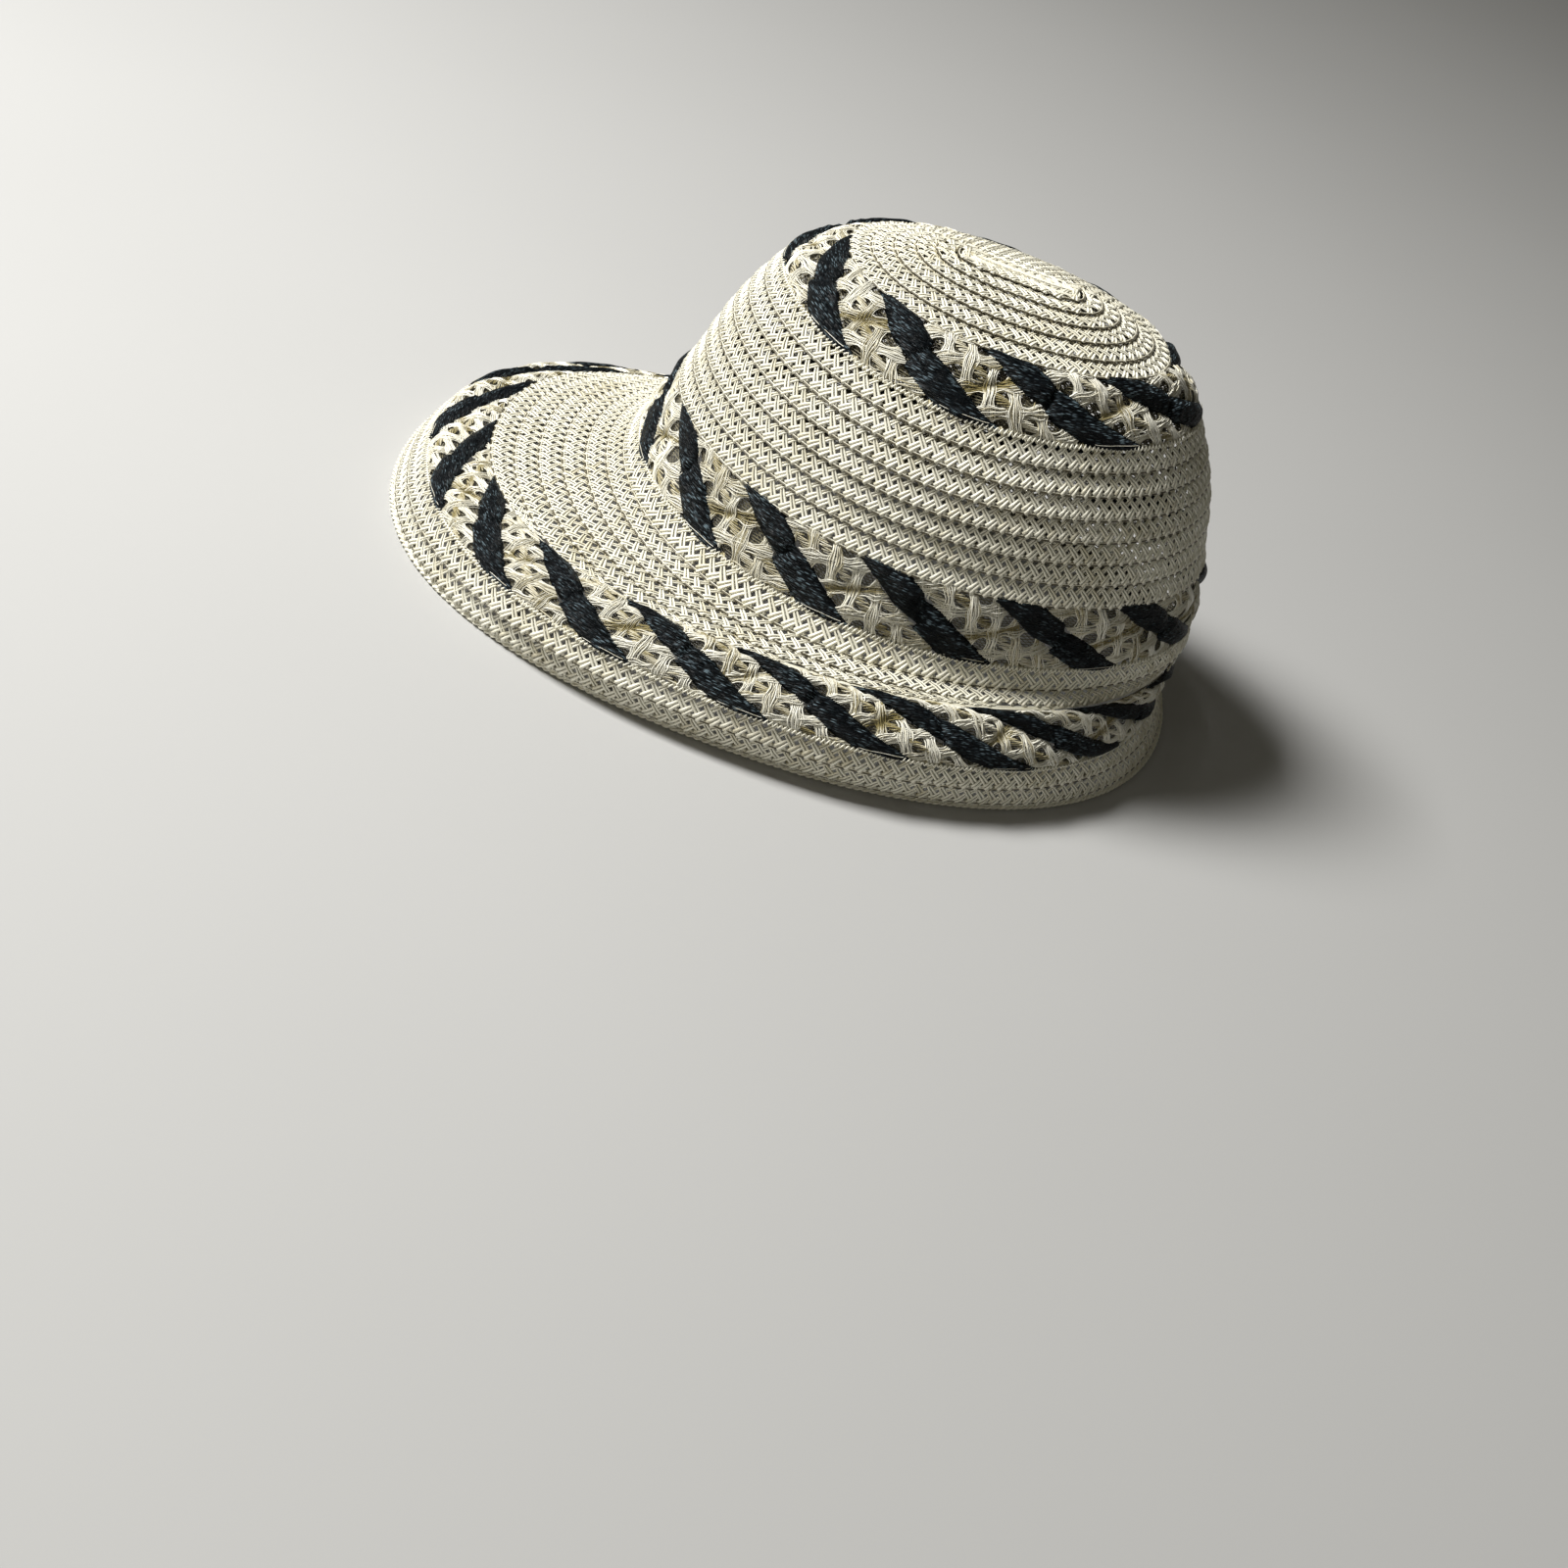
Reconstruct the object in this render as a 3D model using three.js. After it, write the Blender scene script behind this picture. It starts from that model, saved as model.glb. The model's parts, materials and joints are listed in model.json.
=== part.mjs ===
// Wide-brim sun hat sewn from one long spiral of plaited braid, with three bands of lace and dark ribbon.
// Millimetres, +Z up. The rim stands on z = 0, the front of the hat points along -Y and its left along +X.
import * as THREE from "three";

// Sizes of the braid and of the wall
const ROW = 7.7;             // width of one turn of braid that shows
const WALL = 2.0;            // thickness of the plaited wall
const LIP = 0.9;             // how far the lower edge of a turn stands over the next one
const SEAM = 0.5;            // clear space where two pieces are sewn edge to edge
const TUCK = 0.25;           // what still shows of a short row whose end is tucked under
const SET_BACK = 33.27;      // how far the crown sits behind the middle of the brim
const SET_ASIDE = 2.67;      // how far the crown sits to the left of the middle of the brim

// Sizes of the lace bands and of the dark leaves on them
const PUFF = 1.4;            // height of a puffed lace strip over its band
const LEAF_GAP = 0.35;       // clear space between a leaf and its band
const LEAF_EDGE = 0.5;       // thickness of a leaf at its edge
const LEAF_CROWN = 1.5;      // height of a leaf's puffed middle over its edge
const LEAF_MARGIN = 0.04;    // plain band in front of a leaf, as a share of the way to the next leaf
const LEAF_PINCH = 0.02;     // how far each side of a leaf draws in at its crease
const SWEEP = 0.1;           // how much a leaf bends into an S: 0 is straight
const STRIP_COLUMNS = 4;     // columns of facets from one leaf to the next

// Heights and half widths of the hat, from the centre of the crown down to the rim.
// turn counts turns of braid from the centre; each lace band is as wide as three turns.
// zFront, zLeft, zBack and zRight are heights over the rim; front, back, left and right are how far the
// hat reaches from the middle of each turn, which lies at y = middle. The right side droops a little
// more than the left, as soft braid does.
// skew moves the widest place towards the front, and square fills out the corners of the oval.
const COLUMNS = [
  "turn", "zFront", "zLeft", "zBack", "zRight", "middle", "front", "back", "left", "right", "skew", "square",
];
const SECTIONS = [
  [0.0, 141.6, 141.6, 141.6, 141.6, 4.0, 14.0, 15.0, 0.0, 0.0, 0.0, 0.0],
  [1.0, 141.0, 141.0, 141.0, 141.0, 4.0, 21.0, 22.5, 8.0, 8.0, 0.0, 0.1],
  [3.0, 138.6, 138.0, 138.2, 138.0, 4.2, 35.0, 36.0, 22.5, 22.5, 0.02, 0.03],
  [6.0, 131.5, 130.5, 130.5, 130.5, 4.0, 56.0, 57.0, 44.5, 44.5, 0.03, 0.0],
  [9.0, 119.0, 112.5, 116.0, 112.5, 3.3, 74.5, 75.0, 60.5, 60.5, 0.04, 0.0],
  [13.0, 92.5, 85.0, 90.5, 85.0, 3.2, 88.5, 90.5, 74.3, 74.3, 0.04, 0.0],
  [16.0, 69.0, 64.0, 67.5, 64.0, 2.8, 95.0, 98.0, 79.3, 79.3, 0.04, 0.0],
  [19.0, 45.5, 40.5, 45.0, 40.5, 0.0, 100.3, 105.5, 85.1, 85.1, 0.07, 0.0],
  [20.0, 39.5, 33.5, 38.0, 33.0, -2.0, 102.7, 108.2, 90.2, 89.0, 0.09, 0.0],
  [27.0, 25.0, 31.0, 32.5, 17.0, -4.8, 144.8, 110.5, 105.2, 95.5, 0.16, 0.02],
  [30.0, 17.3, 18.5, 14.6, 7.2, -5.2, 164.4, 109.5, 120.5, 112.0, 0.12, 0.03],
  [31.0, 10.3, 12.0, 9.0, 4.6, -6.4, 168.5, 114.5, 122.5, 118.0, 0.12, 0.03],
  [32.6, 0.0, 0.0, 0.0, 0.0, -8.5, 171.0, 121.5, 117.0, 128.0, 0.12, 0.04],
].map((row) => Object.fromEntries(COLUMNS.map((name, i) => [name, row[i]])));

// Turns at which one piece ends and the next begins
const CENTRE = 0.2;
const TIP_END = 6;
const SHOULDER_END = 9;
const SIDE_END = 16;
const BASE_END = 19;
const FIRST_BRIM_ROW = 20;
const CRESCENT_END = 27;
const BRIM_BAND_END = 30;
const OUTER_ROWS = [31, 32];
const RIM = 32.6;

// The three lace bands. leaves is the count of dark leaves round the band and start the angle from the
// front at which the first one begins. width is how wide a leaf is and lean how far it runs on round the
// band from its top to its bottom, both as a share of the way from one leaf to the next. swing moves
// the tops of the leaves on in front and back behind, so that they lean more behind than in front.
const BANDS = [
  {
    name: "upper", from: TIP_END, to: SHOULDER_END, leaves: 8,
    start: -9.2, width: 0.45, lean: 0.9, swing: 0,
  },
  {
    name: "lower", from: SIDE_END, to: BASE_END, leaves: 12,
    start: 16.5, width: 0.41, lean: 0.82, swing: 0,
  },
  {
    name: "brim", from: CRESCENT_END, to: BRIM_BAND_END, leaves: 17,
    start: -3.9, width: 0.45, lean: 1.2, swing: 0.25,
  },
];

const STRAW = new THREE.MeshStandardMaterial({ color: "#e4dab6", roughness: 0.6, metalness: 0 });
const LACE = new THREE.MeshStandardMaterial({ color: "#cfc59a", roughness: 0.45, metalness: 0 });
const RIBBON = new THREE.MeshStandardMaterial({ color: "#1b252c", roughness: 0.55, metalness: 0 });

// The slope of a curve through the table at a row, never so steep that the curve overshoots a row
function slopeAt(before, after, stepBefore, stepAfter) {
  if (before * after <= 0) return 0;
  const first = 2 * stepAfter + stepBefore;
  const second = stepAfter + 2 * stepBefore;
  return (first + second) / (first / before + second / after);
}

// One section of the hat at any turn, on a smooth curve through the rows of the table
function sectionAt(turn) {
  const last = SECTIONS.length - 1;
  const i = Math.max(0, SECTIONS.findIndex((row) => turn <= row.turn) - 1);
  const step = (k) => SECTIONS[k + 1].turn - SECTIONS[k].turn;
  const t = (turn - SECTIONS[i].turn) / step(i);
  const section = {};
  for (const key of Object.keys(SECTIONS[i])) {
    const rise = (k) => (SECTIONS[k + 1][key] - SECTIONS[k][key]) / step(k);
    const slope = (k) => {
      if (k === 0) return rise(0);
      if (k === last) return rise(last - 1);
      return slopeAt(rise(k - 1), rise(k), step(k - 1), step(k));
    };
    const a = SECTIONS[i][key];
    const b = SECTIONS[i + 1][key];
    const m = slope(i) * step(i);
    const n = slope(i + 1) * step(i);
    const cubic = (2 * a - 2 * b + m + n) * t ** 3 + (3 * b - 3 * a - 2 * m - n) * t ** 2;
    section[key] = cubic + m * t + a;
  }
  return section;
}

// The outer face of the hat: turn says how far out, angle how far round from the front over the left side
function surface(turn, angle) {
  const s = sectionAt(turn);
  const forward = Math.cos(angle);
  const sideways = Math.sin(angle);
  const grow = 1 + s.square * Math.sin(2 * angle) ** 2;
  const ahead = forward > 0;
  const onLeft = sideways > 0;
  const reach = (onLeft ? s.left : s.right) * sideways * grow;
  const x = SET_ASIDE + reach * (1 + s.skew * forward);
  const y = SET_BACK + s.middle - (ahead ? s.front : s.back) * forward * grow;
  const zSide = onLeft ? s.zLeft : s.zRight;
  const z = zSide + ((ahead ? s.zFront : s.zBack) - zSide) * forward ** 2;
  return new THREE.Vector3(x, y, z);
}

const STEP = 0.01;

// A point at a height over the outer face, square to it
function over(turn, angle, height) {
  const inner = Math.max(turn - STEP, CENTRE / 2);
  const outer = Math.min(turn + STEP, RIM);
  const down = surface(outer, angle).sub(surface(inner, angle));
  const round = surface(turn, angle + STEP).sub(surface(turn, angle - STEP));
  const out = down.cross(round).normalize();
  return surface(turn, angle).addScaledVector(out, height);
}

function mesh(name, points, triangles, material) {
  const geometry = new THREE.BufferGeometry();
  geometry.setAttribute("position", new THREE.Float32BufferAttribute(points.flatMap((p) => p.toArray()), 3));
  geometry.setIndex(triangles);
  geometry.computeVertexNormals();
  const piece = new THREE.Mesh(geometry, material);
  piece.name = name;
  return piece;
}

// Facets between rings of points, each ring going round the hat from the front over the left side
function facets(rings, closed) {
  const count = rings[0].length;
  const triangles = [];
  const bands = closed ? rings.length : rings.length - 1;
  for (let i = 0; i < bands; i += 1) {
    const near = i * count;
    const far = ((i + 1) % rings.length) * count;
    for (let j = 0; j < count; j += 1) {
      const k = (j + 1) % count;
      triangles.push(near + j, far + j, far + k, near + j, far + k, near + k);
    }
  }
  return triangles;
}

// A cap that closes a long narrow ring by joining its left half to its right half
function cap(first, count, up) {
  const triangles = [];
  for (let k = 0; k < count / 2; k += 1) {
    const a = first + k;
    const b = first + k + 1;
    const c = first + count - k - 1;
    const d = first + ((count - k) % count);
    if (b !== c) triangles.push(...(up ? [a, b, c] : [a, c, b]));
    if (a !== d) triangles.push(...(up ? [a, c, d] : [a, d, c]));
  }
  return triangles;
}

// The outer steps of a run of turns: each turn rises to its lower edge, which stands over the next
function steps(edges) {
  const profile = [];
  for (let i = 0; i < edges.length - 1; i += 1) {
    profile.push({ turn: edges[i], height: 0 }, { turn: edges[i + 1], height: LIP });
  }
  return profile;
}

const range = (from, to) => Array.from({ length: to - from + 1 }, (_, i) => from + i);

// The width of a seam's half, in turns, where a turn measures about ROW
const HALF_SEAM = SEAM / 2 / ROW;

// A shell of braid turns: profile gives its outer face, lining the turns of its inner face
function braidShell(name, profile, lining, columns, closed) {
  const inside = lining.map((turn) => ({ turn, height: -WALL }));
  const rings = [...profile, ...inside].map(({ turn, height }) => {
    const at = (j) => over(turn, (j / columns) * 2 * Math.PI, height);
    return Array.from({ length: columns }, (_, j) => at(j));
  });
  const triangles = facets(rings, closed);
  if (!closed) {
    triangles.push(...cap(0, columns, true));
    triangles.push(...cap((rings.length - 1) * columns, columns, false));
  }
  return mesh(name, rings.flat(), triangles, STRAW);
}

function crownTip() {
  const end = TIP_END - HALF_SEAM;
  const profile = steps([CENTRE, ...range(1, TIP_END - 1), end]);
  return braidShell("crown_tip", profile, [end, 4, 2, CENTRE], 40, false);
}

function crownSide() {
  const from = SHOULDER_END + HALF_SEAM;
  const to = SIDE_END - HALF_SEAM;
  const profile = steps([from, ...range(SHOULDER_END + 1, SIDE_END - 1), to]);
  return braidShell("crown_side", profile, [to, 14, 12, 10.5, from], 48, true);
}

// The first brim row goes all round. The short rows outside it follow it at the width of a turn
// until they meet the brim band, under which their ends are tucked: six show in front, none behind.
function brimInner() {
  const columns = 56;
  const shortRows = 6;
  const first = BASE_END + HALF_SEAM;
  const start = FIRST_BRIM_ROW;
  const reachAt = (angle) => surface(start, angle).distanceTo(surface(CRESCENT_END, angle));
  const edgeAt = (row, reach) => Math.min(row * ROW, reach - SEAM - (shortRows - row) * TUCK);
  const turnAt = (distance, reach) => start + ((CRESCENT_END - start) * distance) / reach;
  const rings = range(0, 2 * shortRows + 1).map(() => []);
  const lining = [1, 0.75, 0.5, 0.25, 0];
  const inside = lining.map(() => []);
  for (let j = 0; j < columns; j += 1) {
    const angle = (j / columns) * 2 * Math.PI;
    const reach = reachAt(angle);
    rings[0].push(over(first, angle, 0));
    rings[1].push(over(start, angle, LIP));
    for (let row = 1; row <= shortRows; row += 1) {
      const from = row === 1 ? 0 : edgeAt(row - 1, reach);
      const to = edgeAt(row, reach);
      const lip = LIP * Math.min(1, (to - from) / ROW);
      rings[2 * row].push(over(turnAt(from, reach), angle, 0));
      rings[2 * row + 1].push(over(turnAt(to, reach), angle, lip));
    }
    const last = turnAt(reach - SEAM, reach);
    lining.forEach((share, i) => inside[i].push(over(first + (last - first) * share, angle, -WALL)));
  }
  const all = [...rings, ...inside];
  return mesh("brim_inner", all.flat(), facets(all, true), STRAW);
}

// The two outer turns and the narrow rolled edge, whose underside is the flat ring that the hat stands on
function brimEdge() {
  const columns = 64;
  const from = BRIM_BAND_END + HALF_SEAM;
  const roll = 1.2;            // height of the rolled edge over the hat's outer face
  const crease = 0.3;          // height of the crease between the last turn and the roll
  const shoulder = RIM - 0.3;  // turn from which the roll is at its full height
  const profile = steps([from, ...OUTER_ROWS]);
  profile.push({ turn: OUTER_ROWS[1], height: crease }, { turn: shoulder, height: roll });
  const lining = [31.8, 30.9, from].map((turn) => ({ turn, height: -WALL }));
  const foot = [{ turn: RIM, height: roll }, { turn: RIM, height: -WALL }];
  const rings = [...profile, ...foot, ...lining].map(({ turn, height }) => {
    return Array.from({ length: columns }, (_, j) => {
      const point = over(turn, (j / columns) * 2 * Math.PI, height);
      return turn === RIM ? point.setZ(0) : point;
    });
  });
  return mesh("brim_edge", rings.flat(), facets(rings, true), STRAW);
}

// Angles of equal steps along one turn of the hat, counted in laps from a starting angle
function evenAngles(turn, start) {
  const fine = 720;
  const begin = THREE.MathUtils.degToRad(start);
  const angleOf = (k) => begin + (k / fine) * 2 * Math.PI;
  const lengths = [0];
  for (let k = 1; k <= fine; k += 1) {
    const step = surface(turn, angleOf(k)).distanceTo(surface(turn, angleOf(k - 1)));
    lengths.push(lengths[k - 1] + step);
  }
  return (share) => {
    const laps = Math.floor(share);
    const wanted = (share - laps) * lengths[fine];
    const k = Math.min(lengths.findIndex((length) => length >= wanted) || 1, fine);
    const part = (wanted - lengths[k - 1]) / (lengths[k] - lengths[k - 1]);
    return angleOf(k - 1 + part) + laps * 2 * Math.PI;
  };
}

// The angle on a band at a place counted in leaves along it, and at a depth from its top, 0, to its
// bottom, 1. The leaves are evenly spaced along both edges of the band.
function bandPlace(band) {
  const topAngle = evenAngles(band.from, band.start);
  const bottomAngle = evenAngles(band.to, band.start);
  return (place, depth) => {
    const bend = depth + (SWEEP * Math.sin(2 * Math.PI * depth)) / (2 * Math.PI);
    const moved = band.swing * (1 - bend) * Math.cos((place / band.leaves) * 2 * Math.PI);
    const share = (place + band.lean * bend + moved) / band.leaves;
    return (1 - depth) * topAngle(share) + depth * bottomAngle(share);
  };
}

// The turn at a depth of a band, which keeps half a seam clear at each edge
function bandTurn(band, depth) {
  return band.from + HALF_SEAM + (band.to - band.from - 2 * HALF_SEAM) * depth;
}

// A lace band: puffed strips that stand up between the leaves, pinched at the middle and at both edges
function laceBand(band) {
  const angleAt = bandPlace(band);
  const columns = band.leaves * STRIP_COLUMNS;
  const crests = [
    { depth: 0, share: 0.2 }, { depth: 0.25, share: 1 }, { depth: 0.5, share: 0.45 },
    { depth: 0.75, share: 1 }, { depth: 1, share: 0.2 },
  ];
  const outside = crests.map(({ depth, share }) => (j) => {
    const onCrest = j % STRIP_COLUMNS === STRIP_COLUMNS - 1;
    const height = onCrest ? PUFF * share : 0;
    return over(bandTurn(band, depth), angleAt(j / STRIP_COLUMNS, depth), height);
  });
  const inside = [1, 0.5, 0].map((depth) => (j) => {
    return over(bandTurn(band, depth), angleAt(j / STRIP_COLUMNS, depth), -WALL);
  });
  const rings = [...outside, ...inside].map((at) => Array.from({ length: columns }, (_, j) => at(j)));
  return mesh(`${band.name}_band`, rings.flat(), facets(rings, true), LACE);
}

// A dark leaf: two puffed halves with a crease between them, cut off along both edges of the band
function darkLeaf(band, index) {
  const angleAt = bandPlace(band);
  const stations = [
    { depth: 0, pinch: 0, puff: 0.2 },
    { depth: 0.25, pinch: 0, puff: 1 },
    { depth: 0.5, pinch: 1, puff: 0.3 },
    { depth: 0.75, pinch: 0, puff: 1 },
    { depth: 1, pinch: 0, puff: 0.2 },
  ];
  const points = [];
  for (const { depth, pinch, puff } of stations) {
    const near = index + LEAF_MARGIN + LEAF_PINCH * pinch;
    const far = index + LEAF_MARGIN + band.width - LEAF_PINCH * pinch;
    const crown = LEAF_GAP + LEAF_EDGE + LEAF_CROWN * puff;
    const loop = [
      [near, LEAF_GAP], [(near + far) / 2, LEAF_GAP], [far, LEAF_GAP],
      [far, LEAF_GAP + LEAF_EDGE], [(near + far) / 2, crown], [near, LEAF_GAP + LEAF_EDGE],
    ];
    for (const [place, height] of loop) {
      points.push(over(bandTurn(band, depth), angleAt(place, depth), height));
    }
  }
  const sides = 6;
  const triangles = [];
  for (let i = 0; i < stations.length - 1; i += 1) {
    for (let j = 0; j < sides; j += 1) {
      const k = (j + 1) % sides;
      const near = i * sides;
      const far = near + sides;
      triangles.push(near + j, near + k, far + k, near + j, far + k, far + j);
    }
  }
  const end = (stations.length - 1) * sides;
  for (const [a, b, c] of [[0, 5, 4], [0, 4, 1], [1, 4, 3], [1, 3, 2]]) {
    triangles.push(a, b, c, end + a, end + c, end + b);
  }
  const label = String(index + 1).padStart(2, "0");
  return mesh(`${band.name}_leaf_${label}`, points, triangles, RIBBON);
}

const hat = new THREE.Group();
hat.add(crownTip(), crownSide(), brimInner(), brimEdge());
for (const band of BANDS) {
  hat.add(laceBand(band));
  for (let i = 0; i < band.leaves; i += 1) hat.add(darkLeaf(band, i));
}

export default hat;
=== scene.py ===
"""Wide-brim sun hat sewn from open plaited braid, with three bands of lace strips and dark ribbon leaves."""

import json
import logging
import math
from dataclasses import astuple, dataclass, field
from enum import Enum

import bmesh
import bpy
import numpy as np
from bpy.types import ID, Material, Mesh, Node, NodeSocket, NodeTree, Object
from mathutils import Matrix, Vector

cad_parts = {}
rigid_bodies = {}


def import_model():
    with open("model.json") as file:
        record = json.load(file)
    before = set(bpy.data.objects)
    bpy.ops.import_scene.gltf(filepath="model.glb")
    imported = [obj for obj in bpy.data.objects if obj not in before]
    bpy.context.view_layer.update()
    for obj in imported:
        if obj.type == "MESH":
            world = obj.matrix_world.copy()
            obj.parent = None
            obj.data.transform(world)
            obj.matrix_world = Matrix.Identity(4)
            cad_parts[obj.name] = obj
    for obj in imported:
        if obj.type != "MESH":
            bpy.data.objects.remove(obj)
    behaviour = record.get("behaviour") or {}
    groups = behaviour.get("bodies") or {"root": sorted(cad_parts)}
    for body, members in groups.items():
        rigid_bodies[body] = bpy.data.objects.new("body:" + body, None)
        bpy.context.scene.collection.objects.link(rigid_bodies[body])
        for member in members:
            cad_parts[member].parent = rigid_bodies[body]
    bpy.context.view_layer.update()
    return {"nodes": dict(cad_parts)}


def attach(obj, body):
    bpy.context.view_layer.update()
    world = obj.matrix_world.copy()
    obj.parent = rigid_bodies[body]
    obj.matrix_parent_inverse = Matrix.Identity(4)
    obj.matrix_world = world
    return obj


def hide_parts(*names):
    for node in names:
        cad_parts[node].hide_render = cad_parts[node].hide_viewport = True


log = logging.getLogger("sun_hat")

Colour = tuple[float, float, float, float]
Jitter = np.random.Generator
Array = np.ndarray
Number = float | np.ndarray

MM = 0.001

ROW = 7.7            # width of one turn of braid that shows
SET_BACK = 33.27     # how far the crown sits behind the middle of the brim
SET_ASIDE = 2.67     # how far the crown sits to the left of the middle of the brim
CENTRE = 0.2         # turn at which the spiral starts
RIM = 32.6           # turn of the rim


class Slot(Enum):
    """Material slots of the hat."""

    STRAW = "straw_braid"
    LACE = "lace_strip"
    RIBBON = "dark_ribbon"


@dataclass(frozen=True)
class Section:
    """Heights over the rim and half widths of the hat at one turn of braid, in millimetres."""

    turn: float
    z_front: float
    z_left: float
    z_back: float
    z_right: float
    middle: float
    front: float
    back: float
    left: float
    right: float
    skew: float
    square: float


SECTIONS: tuple[Section, ...] = (
    Section(0.0, 141.6, 141.6, 141.6, 141.6, 4.0, 14.0, 15.0, 0.0, 0.0, 0.0, 0.0),
    Section(1.0, 141.0, 141.0, 141.0, 141.0, 4.0, 21.0, 22.5, 8.0, 8.0, 0.0, 0.1),
    Section(3.0, 138.6, 138.0, 138.2, 138.0, 4.2, 35.0, 36.0, 22.5, 22.5, 0.02, 0.03),
    Section(6.0, 131.5, 130.5, 130.5, 130.5, 4.0, 56.0, 57.0, 44.5, 44.5, 0.03, 0.0),
    Section(9.0, 119.0, 112.5, 116.0, 112.5, 3.3, 74.5, 75.0, 60.5, 60.5, 0.04, 0.0),
    Section(13.0, 92.5, 85.0, 90.5, 85.0, 3.2, 88.5, 90.5, 74.3, 74.3, 0.04, 0.0),
    Section(16.0, 69.0, 64.0, 67.5, 64.0, 2.8, 95.0, 98.0, 79.3, 79.3, 0.04, 0.0),
    Section(19.0, 45.5, 40.5, 45.0, 40.5, 0.0, 100.3, 105.5, 85.1, 85.1, 0.07, 0.0),
    Section(20.0, 39.5, 33.5, 38.0, 33.0, -2.0, 102.7, 108.2, 90.2, 89.0, 0.09, 0.0),
    Section(27.0, 25.0, 31.0, 32.5, 17.0, -4.8, 144.8, 110.5, 105.2, 95.5, 0.16, 0.02),
    Section(30.0, 17.3, 18.5, 14.6, 7.2, -5.2, 164.4, 109.5, 120.5, 112.0, 0.12, 0.03),
    Section(31.0, 10.3, 12.0, 9.0, 4.6, -6.4, 168.5, 114.5, 122.5, 118.0, 0.12, 0.03),
    Section(32.6, 0.0, 0.0, 0.0, 0.0, -8.5, 171.0, 121.5, 117.0, 128.0, 0.12, 0.04),
)


def unit(vectors: Array) -> Array:
    """The same vectors with a length of 1."""
    return vectors / np.linalg.norm(vectors, axis=-1, keepdims=True)


def bell(away: Array, width: Number) -> Array:
    """1 at a distance of nothing, falling smoothly to nothing past the width."""
    return np.exp(-((away / width) ** 2))


def lengths_along(run: Array) -> Array:
    """Length along a run of points up to each of them."""
    return np.append(0.0, np.cumsum(np.linalg.norm(np.diff(run, axis=0), axis=1)))


@dataclass
class HatForm:
    """The smooth outer face of the hat, with its points in millimetres.

    A turn says how far out a point lies, and an angle in radians how far round from the front over the left.
    """

    sections: tuple[Section, ...] = SECTIONS
    step: float = 0.01
    samples: int = 720

    def __post_init__(self) -> None:
        """Lays the sections out as columns and works out the slope of each column at each row."""
        table = np.array([astuple(row) for row in self.sections])
        self.turns, self.columns = table[:, 0], table[:, 1:]
        self.slopes = np.stack([self.smooth_slopes(self.turns, column) for column in self.columns.T], 1)

    @staticmethod
    def smooth_slopes(x: Array, y: Array) -> Array:
        """Slopes of a curve through the points that never overshoots one of them.

        Args:
            x: Places along the curve.
            y: Values at those places.

        Returns:
            One slope for each point.
        """
        width, rise = np.diff(x), np.diff(y) / np.diff(x)
        slopes = np.zeros_like(y)
        slopes[0], slopes[-1] = rise[0], rise[-1]
        for k in range(1, len(x) - 1):
            if rise[k - 1] * rise[k] > 0:
                first = 2 * width[k] + width[k - 1]
                second = width[k] + 2 * width[k - 1]
                slopes[k] = (first + second) / (first / rise[k - 1] + second / rise[k])
        return slopes

    def section(self, turn: Array) -> Array:
        """All columns of the table at any turns, on a smooth curve through its rows.

        Args:
            turn: Turns of braid from the centre.

        Returns:
            One row of values for each turn, without the turn itself.
        """
        i = np.clip(np.searchsorted(self.turns, turn, side="left") - 1, 0, len(self.turns) - 2)
        width = self.turns[i + 1] - self.turns[i]
        t = ((turn - self.turns[i]) / width)[..., None]
        a, b = self.columns[i], self.columns[i + 1]
        m, n = (self.slopes[k] * width[..., None] for k in (i, i + 1))
        return (2 * a - 2 * b + m + n) * t**3 + (3 * b - 3 * a - 2 * m - n) * t**2 + m * t + a

    def surface(self, turn: Number, angle: Array) -> Array:
        """Points of the outer face.

        Args:
            turn: Turns of braid from the centre.
            angle: Angles in radians.

        Returns:
            Points in millimetres.
        """
        turn, angle = np.broadcast_arrays(np.asarray(turn, float), np.asarray(angle, float))
        heights, spans = np.split(np.moveaxis(self.section(turn), -1, 0), [4])
        z_front, z_left, z_back, z_right = heights
        middle, front, back, left, right, skew, square = spans
        forward, sideways = np.cos(angle), np.sin(angle)
        grow = 1 + square * np.sin(2 * angle) ** 2
        ahead, on_left = forward > 0, sideways > 0
        x = SET_ASIDE + np.where(on_left, left, right) * sideways * grow * (1 + skew * forward)
        y = SET_BACK + middle - np.where(ahead, front, back) * forward * grow
        z_side = np.where(on_left, z_left, z_right)
        z = z_side + (np.where(ahead, z_front, z_back) - z_side) * forward**2
        return np.stack([x, y, z], -1)

    def outward(self, turn: Array, angle: Array) -> Array:
        """Unit vectors square to the outer face, pointing away from the head.

        Args:
            turn: Turns of braid from the centre.
            angle: Angles in radians.

        Returns:
            One vector for each point.
        """
        inner = np.maximum(turn - self.step, CENTRE / 2)
        outer = np.minimum(turn + self.step, RIM)
        down = self.surface(outer, angle) - self.surface(inner, angle)
        around = self.surface(turn, angle + self.step) - self.surface(turn, angle - self.step)
        return unit(np.cross(down, around))

    def over(self, turn: Number, angle: Array, height: Number) -> Array:
        """Points at heights over the outer face, square to it, in millimetres."""
        turn, angle, height = np.broadcast_arrays(*(np.asarray(v, float) for v in (turn, angle, height)))
        return self.surface(turn, angle) + self.outward(turn, angle) * height[..., None]

    def lap(self, turn: float, start: float = 0.0) -> tuple[Array, Array]:
        """Measures one lap of a turn.

        Args:
            turn: The turn of braid.
            start: Angle at which the lap starts, in radians.

        Returns:
            Angles of the lap and the length along it up to each of them.
        """
        angles = start + np.linspace(0, 2 * math.pi, self.samples + 1)
        return angles, lengths_along(self.surface(turn, angles))


HAT = HatForm()


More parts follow.
